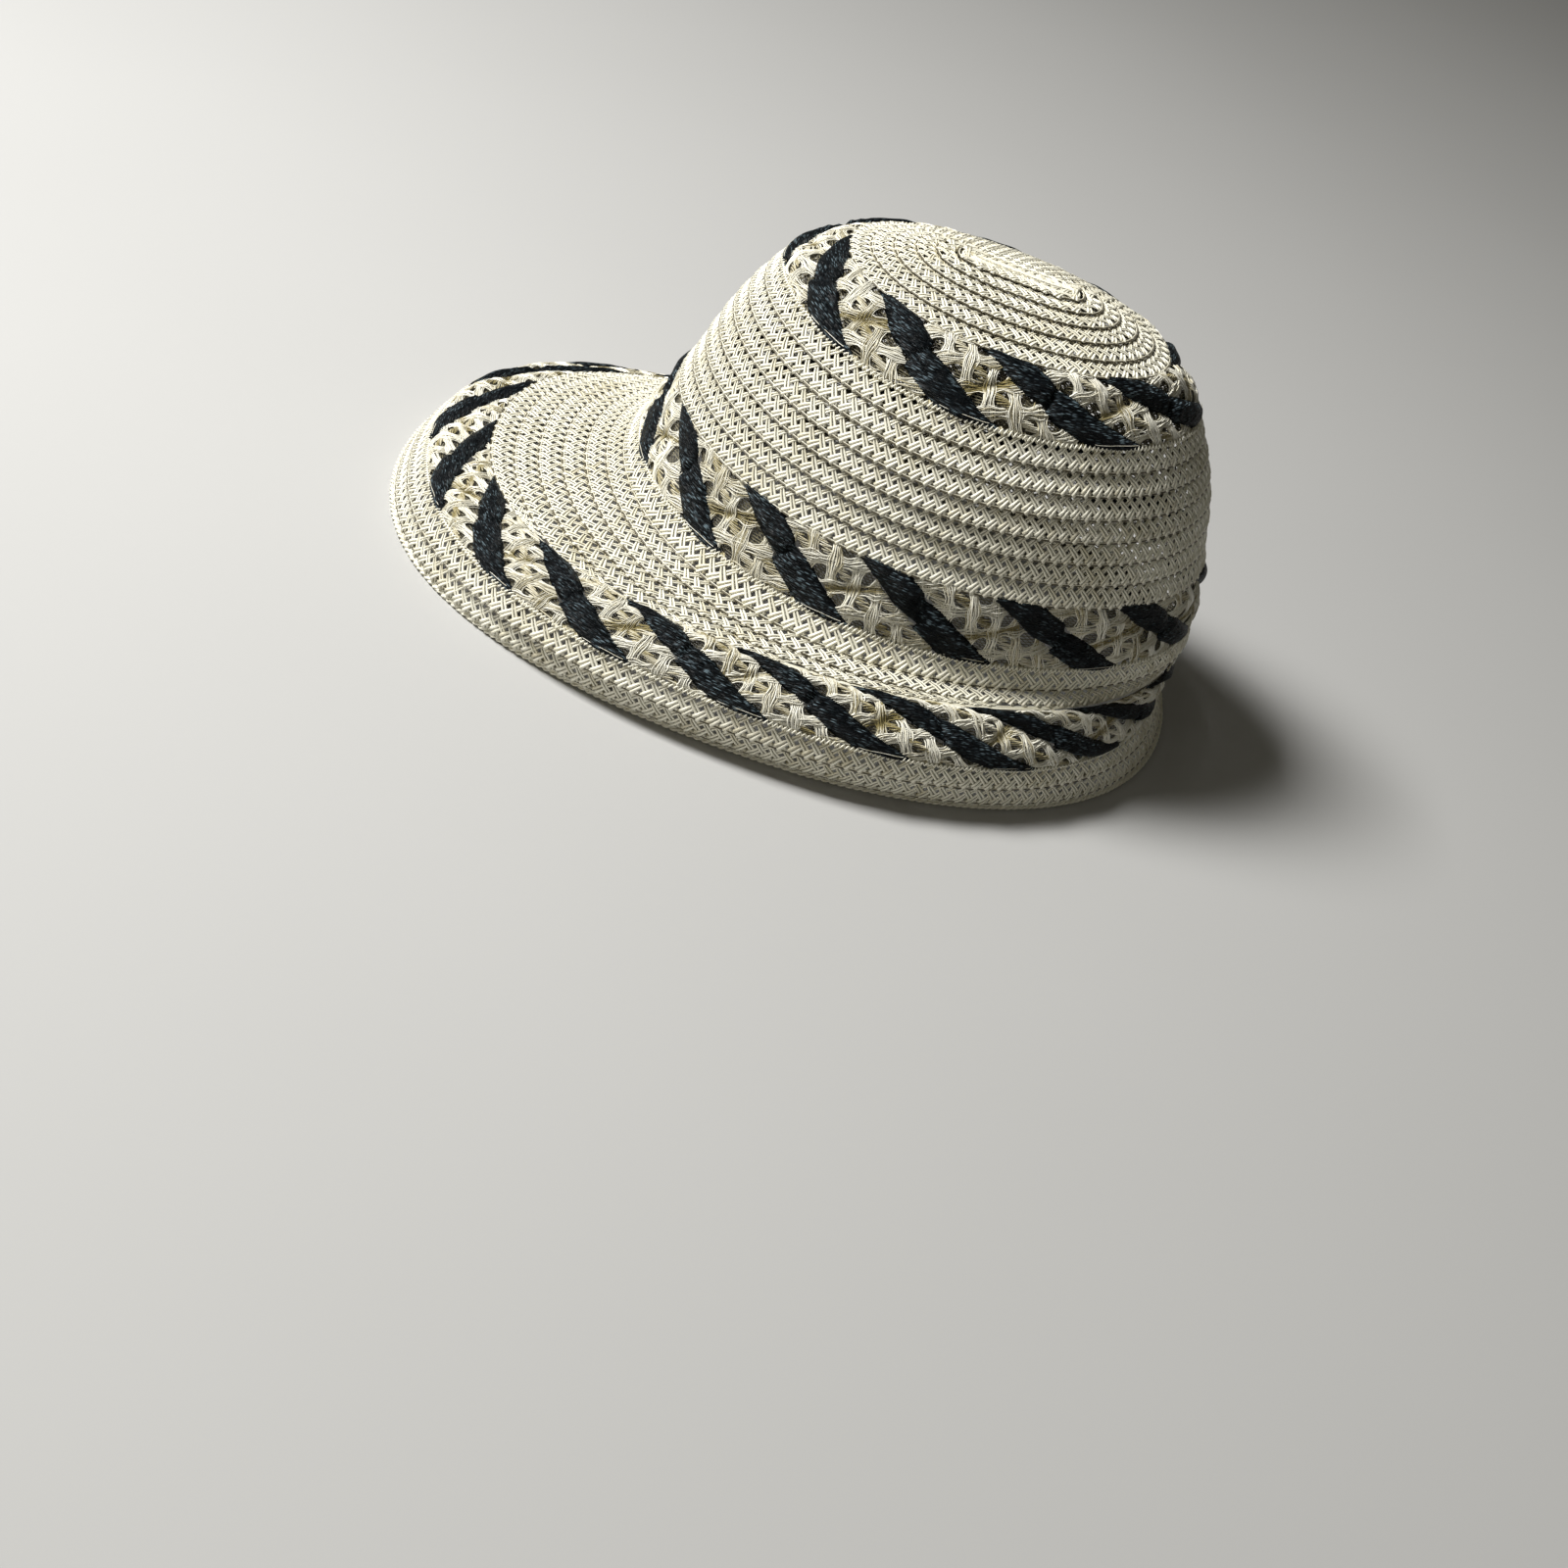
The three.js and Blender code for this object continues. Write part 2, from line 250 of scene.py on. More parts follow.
@dataclass(frozen=True)
class TrimBand:
    """A lace band: the turns it lies between and how its dark leaves are spaced and slanted.

    Places along the band are counted in leaves. Depths go from its top edge, 0, to its bottom edge, 1.
    """

    name: str
    start_turn: float
    end_turn: float
    leaves: int
    start: float
    width: float
    lean: float
    swing: float = 0.0
    margin: float = 0.04
    sweep: float = 0.1
    seam: float = 0.032

    def angle(self, place: Array, depth: Array) -> Array:
        """Angle of a place on the band, whose leaves stand at equal steps along both of its edges.

        Args:
            place: Places along the band.
            depth: Depths in the band.

        Returns:
            Angles in radians.
        """
        bend = depth + self.sweep * np.sin(2 * np.pi * depth) / (2 * np.pi)
        moved = self.swing * (1 - bend) * np.cos(place / self.leaves * 2 * np.pi)
        laps = (place + self.lean * bend + moved) / self.leaves
        whole, mixed = np.floor(laps), 0.0
        for turn, share in ((self.start_turn, 1 - depth), (self.end_turn, depth)):
            angles, lengths = HAT.lap(turn, math.radians(self.start))
            even = np.interp((laps - whole) * lengths[-1], lengths, angles) + whole * 2 * math.pi
            mixed = mixed + share * even
        return mixed

    def turn(self, depth: Array) -> Array:
        """Turn at a depth of the band, with half a seam clear at each edge."""
        return self.start_turn + self.seam + (self.end_turn - self.start_turn - 2 * self.seam) * depth

    def point(self, place: Array, depth: Array, height: Number) -> Array:
        """Points over the band, in millimetres, at places, depths and heights."""
        place, depth, height = np.broadcast_arrays(place, depth, height)
        return HAT.over(self.turn(depth), self.angle(place, depth), height)


UPPER = TrimBand("upper", 6, 9, leaves=8, start=-9.2, width=0.45, lean=0.9)
LOWER = TrimBand("lower", 16, 19, leaves=12, start=16.5, width=0.41, lean=0.82)
BRIM = TrimBand("brim", 27, 30, leaves=17, start=-3.9, width=0.45, lean=1.2, swing=0.25)


class NodeBoard:
    """Places and joins nodes in one tree."""

    def __init__(self, tree: NodeTree) -> None:
        """Takes the tree to build in."""
        self.tree = tree

    def fill(self, node: Node, values: dict[str | int, object]) -> None:
        """Joins sockets to a node's inputs, or sets their values.

        Args:
            node: The node.
            values: A socket or a value for each input, by its name or number.
        """
        for key, value in values.items():
            if isinstance(value, NodeSocket):
                self.tree.links.new(value, node.inputs[key])
            else:
                node.inputs[key].default_value = value

    def add(self, kind: str, **settings: object) -> Node:
        """Adds a node.

        Args:
            kind: The node's Blender type.
            settings: Properties of the node, and sockets or values for its inputs, with _ for a space.

        Returns:
            The new node.
        """
        node = self.tree.nodes.new(kind)
        for key, value in settings.items():
            if hasattr(node, key):
                setattr(node, key, value)
            else:
                self.fill(node, {key.replace("_", " "): value})
        return node

    def out(self, output: str | int, kind: str, numbered: dict[int, object] | None = None,
            **settings: object) -> NodeSocket:
        """Adds a node and gives one of its outputs.

        Args:
            output: Name or number of the output.
            kind: The node's Blender type.
            numbered: Sockets or values for inputs that share a name, by their numbers.
            settings: Its other settings.

        Returns:
            The output.
        """
        node = self.add(kind, **settings)
        self.fill(node, numbered or {})
        return node.outputs[output]

    def math(self, operation: str, first: object, second: object = 0.0) -> NodeSocket:
        """Result of a math operation on sockets or numbers."""
        return self.out(0, "ShaderNodeMath", {0: first, 1: second}, operation=operation)

    def vector(self, operation: str, first: object, second: object, output: int = 0) -> NodeSocket:
        """Result of a vector operation on sockets or vectors: output 0 is a vector and 1 a number."""
        return self.out(output, "ShaderNodeVectorMath", {0: first, 1: second}, operation=operation)

    def blend(self, share: object, first: object, second: object) -> NodeSocket:
        """Mix of two colours, all first at a share of 0 and all second at 1."""
        return self.out(2, "ShaderNodeMix", {0: share, 6: first, 7: second}, data_type="RGBA")

    def ramp(self, value: NodeSocket, low: float, high: float) -> NodeSocket:
        """Smoothly maps a value to 0 at low and 1 at high."""
        return self.out("Result", "ShaderNodeMapRange", interpolation_type="SMOOTHSTEP", Value=value,
                        From_Min=low, From_Max=high)

    def noise(self, place: NodeSocket, scale: object, detail: float, roughness: float = 0.5) -> NodeSocket:
        """Noise round 0.5 at a place."""
        return self.out("Fac", "ShaderNodeTexNoise", Vector=place, Scale=scale, Detail=detail, Roughness=roughness)


class ShaderGroup:
    """A shader node group with named inputs that gives a colour, a roughness and a height."""

    def __init__(self, name: str, inputs: dict[str, object]) -> None:
        """Makes the empty group.

        Args:
            name: The group's name.
            inputs: Input names with their values; a tuple is a colour and a number a value.
        """
        self.tree = bpy.data.node_groups.new(name, "ShaderNodeTree")
        for label, value in inputs.items():
            kind = "NodeSocketColor" if isinstance(value, tuple) else "NodeSocketFloat"
            self.tree.interface.new_socket(label, in_out="INPUT", socket_type=kind).default_value = value
        for label, kind in {"Colour": "Color", "Roughness": "Float", "Height": "Float"}.items():
            self.tree.interface.new_socket(label, in_out="OUTPUT", socket_type="NodeSocket" + kind)
        self.board = NodeBoard(self.tree)
        self.given = self.board.add("NodeGroupInput").outputs

    def close(self, colour: NodeSocket, roughness: NodeSocket, height: NodeSocket) -> "ShaderGroup":
        """Joins the three results to the group's outputs."""
        self.board.add("NodeGroupOutput", Colour=colour, Roughness=roughness, Height=height)
        return self


def fibre_tone_group() -> ShaderGroup:
    """Builds the tint of plaited strands: shade from strand to strand, fine streaks, thin spots, and painted shade
    on the inner faces of the crown, on tucked ends and on strands whose tone is below 0.

    Returns:
        The finished group.
    """
    group = ShaderGroup("fibre_tone", {
        "Light": (0.8, 0.74, 0.55, 1), "Deep": (0.5, 0.43, 0.25, 1), "Thin": (0.4, 0.33, 0.14, 1),
        "Shaded": (0.1, 0.085, 0.05, 1), "Streak Scale": 900.0, "Gloss": 0.4})
    board, given = group.board, group.given
    place = board.out("Object", "ShaderNodeTexCoord")
    tone, inside = (board.out("Fac", "ShaderNodeAttribute", attribute_name=name) for name in ("tone", "inside"))
    streak = board.noise(place, given["Streak Scale"], 3.0, 0.6)
    shade = board.math("MULTIPLY", tone, 0.9)
    for noise in (streak, board.noise(place, 38.0, 2.0)):
        spread = board.math("MULTIPLY", board.math("SUBTRACT", noise, 0.5), 0.55)
        shade = board.math("ADD", shade, spread)
    colour = board.blend(board.ramp(shade, -0.05, 0.72), given["Deep"], given["Light"])
    # Low tones take the Thin colour: thin spots, and the painted shade of tucked ends and lace creases.
    colour = board.blend(board.ramp(shade, 0.24, -0.1), colour, given["Thin"])
    # Painted shade: inner faces above the brim, and strands with a tone below 0, take the Shaded colour.
    above_brim = board.ramp(board.out("Z", "ShaderNodeSeparateXYZ", Vector=place), 0.05, 0.065)
    inside = board.math("MULTIPLY", inside, above_brim)
    shaded = board.math("MAXIMUM", inside, board.ramp(tone, -0.2, -0.9))
    colour = board.blend(shaded, colour, given["Shaded"])
    rough = board.math("ADD", given["Gloss"], board.math("MULTIPLY", streak, 0.25))
    return group.close(colour, rough, streak)


def ribbon_weave_group() -> ShaderGroup:
    """Builds the fine weave of ribbon, with painted glints: light specks in its colour where the weave catches the
    light.

    Returns:
        The finished group.
    """
    group = ShaderGroup("ribbon_weave", {"Ground": (0.008, 0.012, 0.016, 1), "Glint": (0.05, 0.07, 0.08, 1)})
    board, given = group.board, group.given
    flat = board.out("UV", "ShaderNodeUVMap", uv_map="UVMap")
    threads = board.out("Vector", "ShaderNodeMapping", Vector=flat, Scale=(1.25, 0.7, 1.0),
                        Rotation=(0.0, 0.0, 0.35))
    cell = board.add("ShaderNodeTexVoronoi", Vector=threads, Scale=1.0, Randomness=0.75).outputs
    from_middle = board.vector("SUBTRACT", threads, cell["Position"])
    tilt = board.vector("SUBTRACT", cell["Color"], (0.5, 0.5, 0.5))
    facet = board.vector("DOT_PRODUCT", from_middle, tilt, 1)
    middle = board.ramp(cell["Distance"], 0.6, 0.2)
    picked = board.out("Red", "ShaderNodeSeparateColor", Color=cell["Color"])
    patch = board.noise(board.out("Object", "ShaderNodeTexCoord"), 140.0, 3.0)
    bright = board.math("MULTIPLY", middle, board.ramp(picked, 0.35, 1.0))
    bright = board.math("MULTIPLY", bright, board.ramp(patch, 0.3, 0.55))
    # Painted highlight: the brightest cells take the Glint colour.
    colour = board.blend(bright, given["Ground"], given["Glint"])
    rough = board.math("SUBTRACT", 0.5, board.math("MULTIPLY", bright, 0.15))
    return group.close(colour, rough, board.math("ADD", facet, board.math("MULTIPLY", middle, 0.3)))


def new_material(name: str) -> tuple[Material, NodeBoard, Node]:
    """Makes a material.

    Args:
        name: The material's name.

    Returns:
        The material, its board and its Principled shader.
    """
    material = bpy.data.materials.new(name)
    material.use_nodes = True
    return material, NodeBoard(material.node_tree), material.node_tree.nodes["Principled BSDF"]


@dataclass(frozen=True)
class Finish:
    """A material that takes its colour, roughness and bump from a shader group.

    tints are the group's inputs, surface the other inputs of the shader, and depth the bump's height in metres.
    """

    name: str
    tints: dict[str, object]
    surface: dict[str, float]
    relief: float = 0.35
    depth: float = 0.0002

    def material(self, group: ShaderGroup) -> Material:
        """Builds the material.

        Args:
            group: The shader group that tints it.

        Returns:
            The finished material.
        """
        material, board, shader = new_material(self.name)
        tint = board.add("ShaderNodeGroup", node_tree=group.tree, **self.tints).outputs
        bump = board.out("Normal", "ShaderNodeBump", Height=tint["Height"], Strength=self.relief,
                         Distance=self.depth)
        board.fill(shader, {"Base Color": tint["Colour"], "Roughness": tint["Roughness"], "Normal": bump})
        board.fill(shader, self.surface)
        return material


def mesh_from(name: str, points: Array, faces: list, edges: list = ()) -> Mesh:
    """Makes a mesh from points in millimetres.

    Args:
        name: The mesh's name.
        points: Points in millimetres.
        faces: Corner numbers of each face.
        edges: End numbers of each loose edge.

    Returns:
        The mesh, in metres.
    """
    mesh = bpy.data.meshes.new(name)
    mesh.from_pydata((np.asarray(points, float) * MM).tolist(), list(edges), faces)
    mesh.update()
    return mesh


def add_attribute(mesh: Mesh, name: str, values: Array, domain: str = "POINT") -> None:
    """Stores a number or a vector for each point or face of a mesh.

    Args:
        mesh: The mesh.
        name: Name that the numbers are read by.
        values: One number or vector for each point or face.
        domain: POINT or FACE.
    """
    values = np.asarray(values, np.float32)
    kind, key = ("FLOAT_VECTOR", "vector") if values.ndim == 2 else ("FLOAT", "value")
    mesh.attributes.new(name, kind, domain).data.foreach_set(key, values.ravel())


def face_outwards(mesh: Mesh) -> None:
    """Turns every face of a closed mesh outwards.

    Args:
        mesh: The mesh.
    """
    work = bmesh.new()
    work.from_mesh(mesh)
    bmesh.ops.recalc_face_normals(work, faces=work.faces)
    work.to_mesh(mesh)
    work.free()


def show(name: str, data: ID) -> Object:
    """Puts something in the scene as an object.

    Args:
        name: The object's name.
        data: A mesh, a light or a camera.

    Returns:
        The object.
    """
    piece = bpy.data.objects.new(name, data)
    bpy.context.scene.collection.objects.link(piece)
    return piece


def dress(piece: Object, slot: Slot, *nodes: str) -> None:
    """Makes a finished piece ride with the hat and stand for its solids.

    Args:
        piece: The piece.
        slot: Its material slot; not used.
        nodes: Names of the solids.
    """
    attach(piece, "root")
    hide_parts(*nodes)
    log.info("%s: %d faces", piece.name, len(piece.data.polygons))


class GeometryTree:
    """A Geometry Nodes tree with named inputs that ends in Realize Instances and Set Material."""

    def __init__(self, name: str, **inputs: str) -> None:
        """Makes the tree.

        Args:
            name: The tree's name.
            inputs: Kind of socket of each input, by its name.
        """
        self.tree = bpy.data.node_groups.new(name, "GeometryNodeTree")
        for label, kind in {"Geometry": "Geometry", **inputs, "Material": "Material"}.items():
            self.tree.interface.new_socket(label, in_out="INPUT", socket_type="NodeSocket" + kind)
        self.tree.interface.new_socket("Geometry", in_out="OUTPUT", socket_type="NodeSocketGeometry")
        self.board = NodeBoard(self.tree)
        self.given = self.board.add("NodeGroupInput").outputs

    def attribute(self, name: str, kind: str) -> NodeSocket:
        """Reads a named attribute of the geometry."""
        node = self.board.add("GeometryNodeInputNamedAttribute", data_type=kind, Name=name)
        return node.outputs["Attribute"]

    def close(self, geometry: NodeSocket) -> None:
        """Ends the tree in Realize Instances, smooth shading and Set Material.

        Args:
            geometry: What the tree has built.
        """
        for kind in ("RealizeInstances", "SetShadeSmooth"):
            geometry = self.board.out("Geometry", "GeometryNode" + kind, Geometry=geometry)
        painted = self.board.out("Geometry", "GeometryNodeSetMaterial", Geometry=geometry,
                                 Material=self.given["Material"])
        self.board.add("NodeGroupOutput", Geometry=painted)

    def make(self, name: str, source: Mesh, slot: Slot, node: str, **values: object) -> None:
        """Runs the tree on a mesh and keeps the result as a plain mesh that stands for a solid.

        Args:
            name: Name of the finished piece.
            source: The mesh that carries the points or paths.
            slot: The piece's material slot.
            node: The solid that it stands for.
            values: Values of the tree's inputs by name.
        """
        carrier = show(name + "_source", source)
        modifier = carrier.modifiers.new("nodes", "NODES")
        modifier.node_group = self.tree
        for item in self.tree.interface.items_tree:
            if item.in_out == "INPUT" and item.name in values:
                modifier[item.identifier] = values[item.name]
        graph = bpy.context.evaluated_depsgraph_get()
        mesh = bpy.data.meshes.new_from_object(carrier.evaluated_get(graph), preserve_all_data_layers=True,
                                               depsgraph=graph)
        mesh.name = name
        carrier.modifiers.remove(modifier)
        bpy.data.objects.remove(carrier)
        dress(show(name, mesh), slot, node)


class PlaitTree(GeometryTree):
    """Lays plait cells on points that say which way is out, along and how large."""

    def __init__(self) -> None:
        """Builds the tree."""
        super().__init__("plait_rows", Cells="Collection", Kinds="Int", Seed="Int")
        board, given = self.board, self.given
        out, along, stretch = (self.attribute(name, "FLOAT_VECTOR") for name in ("out", "along", "stretch"))
        cells = board.out("Instances", "GeometryNodeCollectionInfo", transform_space="ORIGINAL",
                          Separate_Children=True, Collection=given["Cells"])
        turned = board.out("Rotation", "FunctionNodeAxesToRotation", primary_axis="Z", secondary_axis="X",
                           Primary_Axis=out, Secondary_Axis=along)
        kind = board.out(2, "FunctionNodeRandomValue", {5: board.math("SUBTRACT", given["Kinds"], 1)},
                         data_type="INT", Seed=given["Seed"])
        self.close(board.out("Instances", "GeometryNodeInstanceOnPoints", Points=given["Geometry"], Instance=cells,
                             Pick_Instance=True, Instance_Index=kind, Rotation=turned, Scale=stretch))


class StrandTree(GeometryTree):
    """Turns paths into strands with the radius that each point says."""

    def __init__(self) -> None:
        """Builds the tree."""
        super().__init__("strands", Sides="Int")
        board, given = self.board, self.given
        path = board.out("Curve", "GeometryNodeMeshToCurve", Mesh=given["Geometry"])
        ring = board.out("Curve", "GeometryNodeCurvePrimitiveCircle", mode="RADIUS", Radius=1.0,
                         Resolution=given["Sides"])
        self.close(board.out("Mesh", "GeometryNodeCurveToMesh", Curve=path, Profile_Curve=ring, Fill_Caps=True,
                             Scale=self.attribute("thickness", "FLOAT")))


@dataclass
class StrandPaths:
    """Paths collected for one piece, each a row of points with its thickness and tone."""

    points: list = field(default_factory=list)
    radii: list = field(default_factory=list)
    tones: list = field(default_factory=list)
    edges: list = field(default_factory=list)
    count: int = 0

    def add(self, points: Array, radius: Number, tone: Number,
            closed: bool = False) -> None:
        """Adds one path.

        Args:
            points: Points in millimetres.
            radius: Radius of the strand in millimetres, for the path or for each point.
            tone: Shade from 0, thin and dark, to 1, full and light. Below 0 it is in shadow.
            closed: Whether the path's last point joins its first.
        """
        n = len(points)
        self.points.append(points)
        self.radii.append(np.broadcast_to(radius, n) * MM)
        self.tones.append(np.broadcast_to(tone, n))
        numbers = range(self.count, self.count + n)
        self.edges += zip(numbers[:-1], numbers[1:])
        if closed:
            self.edges.append((numbers[-1], numbers[0]))
        self.count += n

    def mesh(self, name: str) -> Mesh:
        """Joins the paths into one mesh of loose edges.

        Args:
            name: The mesh's name.

        Returns:
            The mesh.
        """
        mesh = mesh_from(name, np.concatenate(self.points), [], self.edges)
        add_attribute(mesh, "thickness", np.concatenate(self.radii))
        add_attribute(mesh, "tone", np.concatenate(self.tones))
        return mesh


@dataclass
class PlaitCell:
    """One period of the braid: pairs of fibres that cross from edge to edge in both directions.

    heights are the depths from the row's upper edge at which the fibres cross, and their lower end. lifts,
    widths and tones say at each of them how a fibre rises, how wide a pair is and how light its fibres are. The
    tone of 0 where a fibre tucks under the row above is painted shade.
    apart and half are shares of a pair's width: how far a fibre lies from its middle and half a fibre's width.
    """

    pitch: float = 4.2
    wave: float = 0.2
    thickness: float = 0.3
    heights: tuple[float, ...] = (7.7, 6.4, 4.0, 1.6, -0.8)
    lifts: tuple[float, ...] = (0.0, 1.0, -1.0, 1.0, -1.0)
    widths: tuple[float, ...] = (2.9, 2.4, 2.0, 1.55, 1.5)
    tones: tuple[float, ...] = (0.8, 1.0, 1.0, 0.8, 0.0)
    apart: float = 0.26
    half: float = 0.24
    tuck: float = 0.5
    tuck_end: float = 1.2
    tuck_run: float = 2.5
    uneven: tuple[float, float] = (0.88, 1.1)
    unlevel: float = 0.05
    shades: tuple[float, float] = (0.35, 1.0)

    def fibre(self, hand: int, side: int, jitter: Jitter) -> tuple[Array, list, Array]:
        """One fibre of the plait, three sided, with its ridge out.

        Args:
            hand: 1 or -1, the direction in which the fibre crosses the row.
            side: 1 or -1, its place in the pair.
            jitter: Seeded random numbers.

        Returns:
            Points in millimetres, faces and a tone for each point.
        """
        y = np.array(self.heights)
        slope = self.pitch / 2 / (self.heights[1] - self.heights[2])
        square = np.array([1.0, -hand * slope]) / math.hypot(1, slope)
        wide = np.array(self.widths) * jitter.uniform(*self.uneven, len(y))
        lift = hand * self.wave * np.array(self.lifts) + jitter.uniform(-self.unlevel, self.unlevel, len(y))
        lift -= self.tuck * np.clip((self.tuck_end - y) / self.tuck_run, 0, 1)
        points = []
        for k, row in enumerate(y):
            middle = np.array([hand * slope * (self.heights[1] - row), -row]) + square * side * self.apart * wide[k]
            for corner, rise in ((-1, 0.0), (0, self.thickness), (1, 0.0)):
                points.append([*(middle + square * corner * self.half * wide[k]), lift[k] + rise])
        end = 3 * len(y) - 3
        faces = [(near + a, near + b, near + b + 3, near + a + 3)
                 for near in range(0, end, 3) for a, b in ((0, 1), (1, 2), (2, 0))]
        faces += [(0, 2, 1), (end, end + 1, end + 2)]
        return np.array(points), faces, np.repeat(self.tones, 3) * jitter.uniform(*self.shades)

    def mesh(self, seed: int) -> Mesh:
        """One variant of the cell.

        Args:
            seed: Seed of its small irregularities.

        Returns:
            The cell's mesh, with its upper edge along X.
        """
        jitter = np.random.default_rng(seed)
        points, faces, tones, count = [], [], [], 0
        for hand, side in ((1, 1), (1, -1), (-1, 1), (-1, -1)):
            strand, sides, tone = self.fibre(hand, side, jitter)
            points.append(strand)
            tones.append(tone)
            faces += [tuple(count + corner for corner in face) for face in sides]
            count += len(strand)
        mesh = mesh_from(f"plait_cell_{seed}", np.concatenate(points), faces)
        face_outwards(mesh)
        add_attribute(mesh, "tone", np.concatenate(tones))
        # Marks the faces that look inwards, which the shader paints in shade inside the crown.
        add_attribute(mesh, "inside", [face.normal.z < -0.7 for face in mesh.polygons], "FACE")
        return mesh


@dataclass
class BraidRows:
    """Rows of plait for one piece, each laid between an upper and a lower edge on the hat.

    Slack above 1 draws the cells out along their row. sunk, proud, over_band and from_band are heights of a row's
    edges, and the other sizes are those of its edge strand, of the dark strand under its lower edge, which is
    painted shade for the shadow line between rows, and of the loops over a band.
    """

    pitch: float
    seed: int
    slack: float = 1.0
    sunk: float = -0.5
    proud: float = 0.4
    over_band: float = 1.15
    from_band: float = 0.6
    overhang: float = 0.05
    selvedge: float = 0.2
    # The strand sunk under each row's lower edge is painted shade: its tone of -1 gives it the Shaded colour, for
    # the shadow line between rows.
    shadow_strand: float = 0.33
    shadow_strand_tone: float = -1.0
    groove: float = 0.45
    depth: float = 0.1
    loop_width: float = 1.6
    loop_height: float = 1.1
    loop_rise: float = 0.25
    loop_reach: float = 0.11
    loop_shift: float = 0.06
    loop_radius: float = 0.33
    fine: int = 1440
    paths: StrandPaths = field(default_factory=StrandPaths)

    def __post_init__(self) -> None:
        """Sets out the angles of the edges, the seeded random numbers and the lists of cells."""
        self.angles = np.arange(self.fine) / self.fine * 2 * np.pi
        self.jitter = np.random.default_rng(self.seed)
        self.cells = {"point": [], "out": [], "along": [], "stretch": []}

    @staticmethod
    def along(run: Array, length: Array, wanted: Array) -> Array:
        """Points at wanted lengths along a closed run."""
        return np.stack([np.interp(wanted, length, np.append(column, column[0])) for column in run.T], 1)

    @staticmethod
    def around(run: Array) -> Array:
        """Length along a closed run from its start to each point and back to the start."""
        return lengths_along(np.concatenate([run, run[:1]]))

    def at(self, turn: Number, height: Number) -> Array:
        """Points at every angle of a row's edge, at a turn and a height over the hat's face."""
        return HAT.over(turn, self.angles, height)

    def strand(self, points: Array, radius: Number, low: float, high: float,
               closed: bool = True) -> None:
        """Adds a strand whose tone wanders between low and high."""
        self.paths.add(points, radius, self.jitter.uniform(low, high, len(points)), closed)

    def row(self, upper: Array, lower: Array, least: float = 1.6) -> None:
        """Lays one row of cells, a dark strand painted in shade under its lower edge, and its edge strand.

        Args:
            upper: Closed run of points on the row's upper edge.
            lower: Points on its lower edge, at the same angles.
            least: Narrowest width, in millimetres, at which a cell is laid.
        """
        middle = (upper + lower) / 2
        ahead = np.roll(middle, -1, axis=0) - np.roll(middle, 1, axis=0)
        reach = np.linalg.norm(lower - upper, axis=1, keepdims=True)
        fall = (lower - upper) / np.maximum(reach, 0.01)
        # Painted shade: a dark strand sunk just under the row's lower edge stands for the shadow line between rows.
        shadow_strand = lower + self.groove * fall - self.depth * np.cross(fall, unit(ahead))
        narrow = np.clip(reach[:, 0] / ROW, 0, 1)
        self.paths.add(shadow_strand[::8], self.shadow_strand * narrow[::8], self.shadow_strand_tone, closed=True)
        length = self.around(middle)
        count = max(6, round(length[-1] / self.pitch / self.slack))
        wanted = (np.arange(count) + 0.5 + self.jitter.uniform(-0.05, 0.05, count)) / count * length[-1]
        top, base, ahead = (self.along(run, length, wanted) for run in (upper, lower, ahead))
        ahead = unit(ahead)
        width = np.linalg.norm(base - top, axis=1)
        out = unit(np.cross((base - top) / width[:, None], ahead))
        size = np.stack([np.full(count, length[-1] / count / self.pitch), width / ROW, np.ones(count)], 1)
        for key, values in zip(self.cells, (top, out, ahead, size)):
            self.cells[key].append(values[width > least])
        edge = lower[::6]
        self.strand(edge, self.selvedge * self.jitter.uniform(0.95, 1.05, len(edge)), 0.3, 0.9)

    def rings(self, edges: list[float], first: float, last: float | None = None) -> None:
        """Lays full rows between neighbouring turns.

        Args:
            edges: Turns at which the rows begin and end.
            first: Height of the first row's upper edge, which isn't tucked under another row.
            last: Height of the last row's lower edge, where it lies over a band.
        """
        for k, (start, end) in enumerate(zip(edges[:-1], edges[1:])):
            top = self.sunk if k else first
            base = self.proud if last is None or k < len(edges) - 2 else last
            self.row(self.at(start, top), self.at(end + self.overhang, base))

    def loops(self, turn: float) -> None:
        """Adds the small loops where a row begins on top of a band.

        Args:
            turn: Turn at which the row begins.
        """
        length = self.around(HAT.surface(turn, self.angles))
        steps = np.arange(round(length[-1] / self.loop_width) * 4)
        angles = np.interp((steps + 0.5) / len(steps) * length[-1], length, np.append(self.angles, 2 * np.pi))
        uneven = self.jitter.uniform(0.7, 1.2, len(steps))
        turns = turn + self.loop_shift + self.loop_reach * np.cos(np.pi / 2 * steps) * uneven
        lift = self.loop_height + self.loop_rise * np.sin(np.pi / 2 * steps)
        self.strand(HAT.over(turns, angles, lift), self.loop_radius, 0.7, 1.0)

    def mesh(self, name: str) -> Mesh:
        """Makes the points that the cells are laid on.

        Args:
            name: The mesh's name.

        Returns:
            The mesh.
        """
        mesh = mesh_from(name, np.concatenate(self.cells["point"]), [])
        for key in ("out", "along", "stretch"):
            add_attribute(mesh, key, np.concatenate(self.cells[key]))
        return mesh


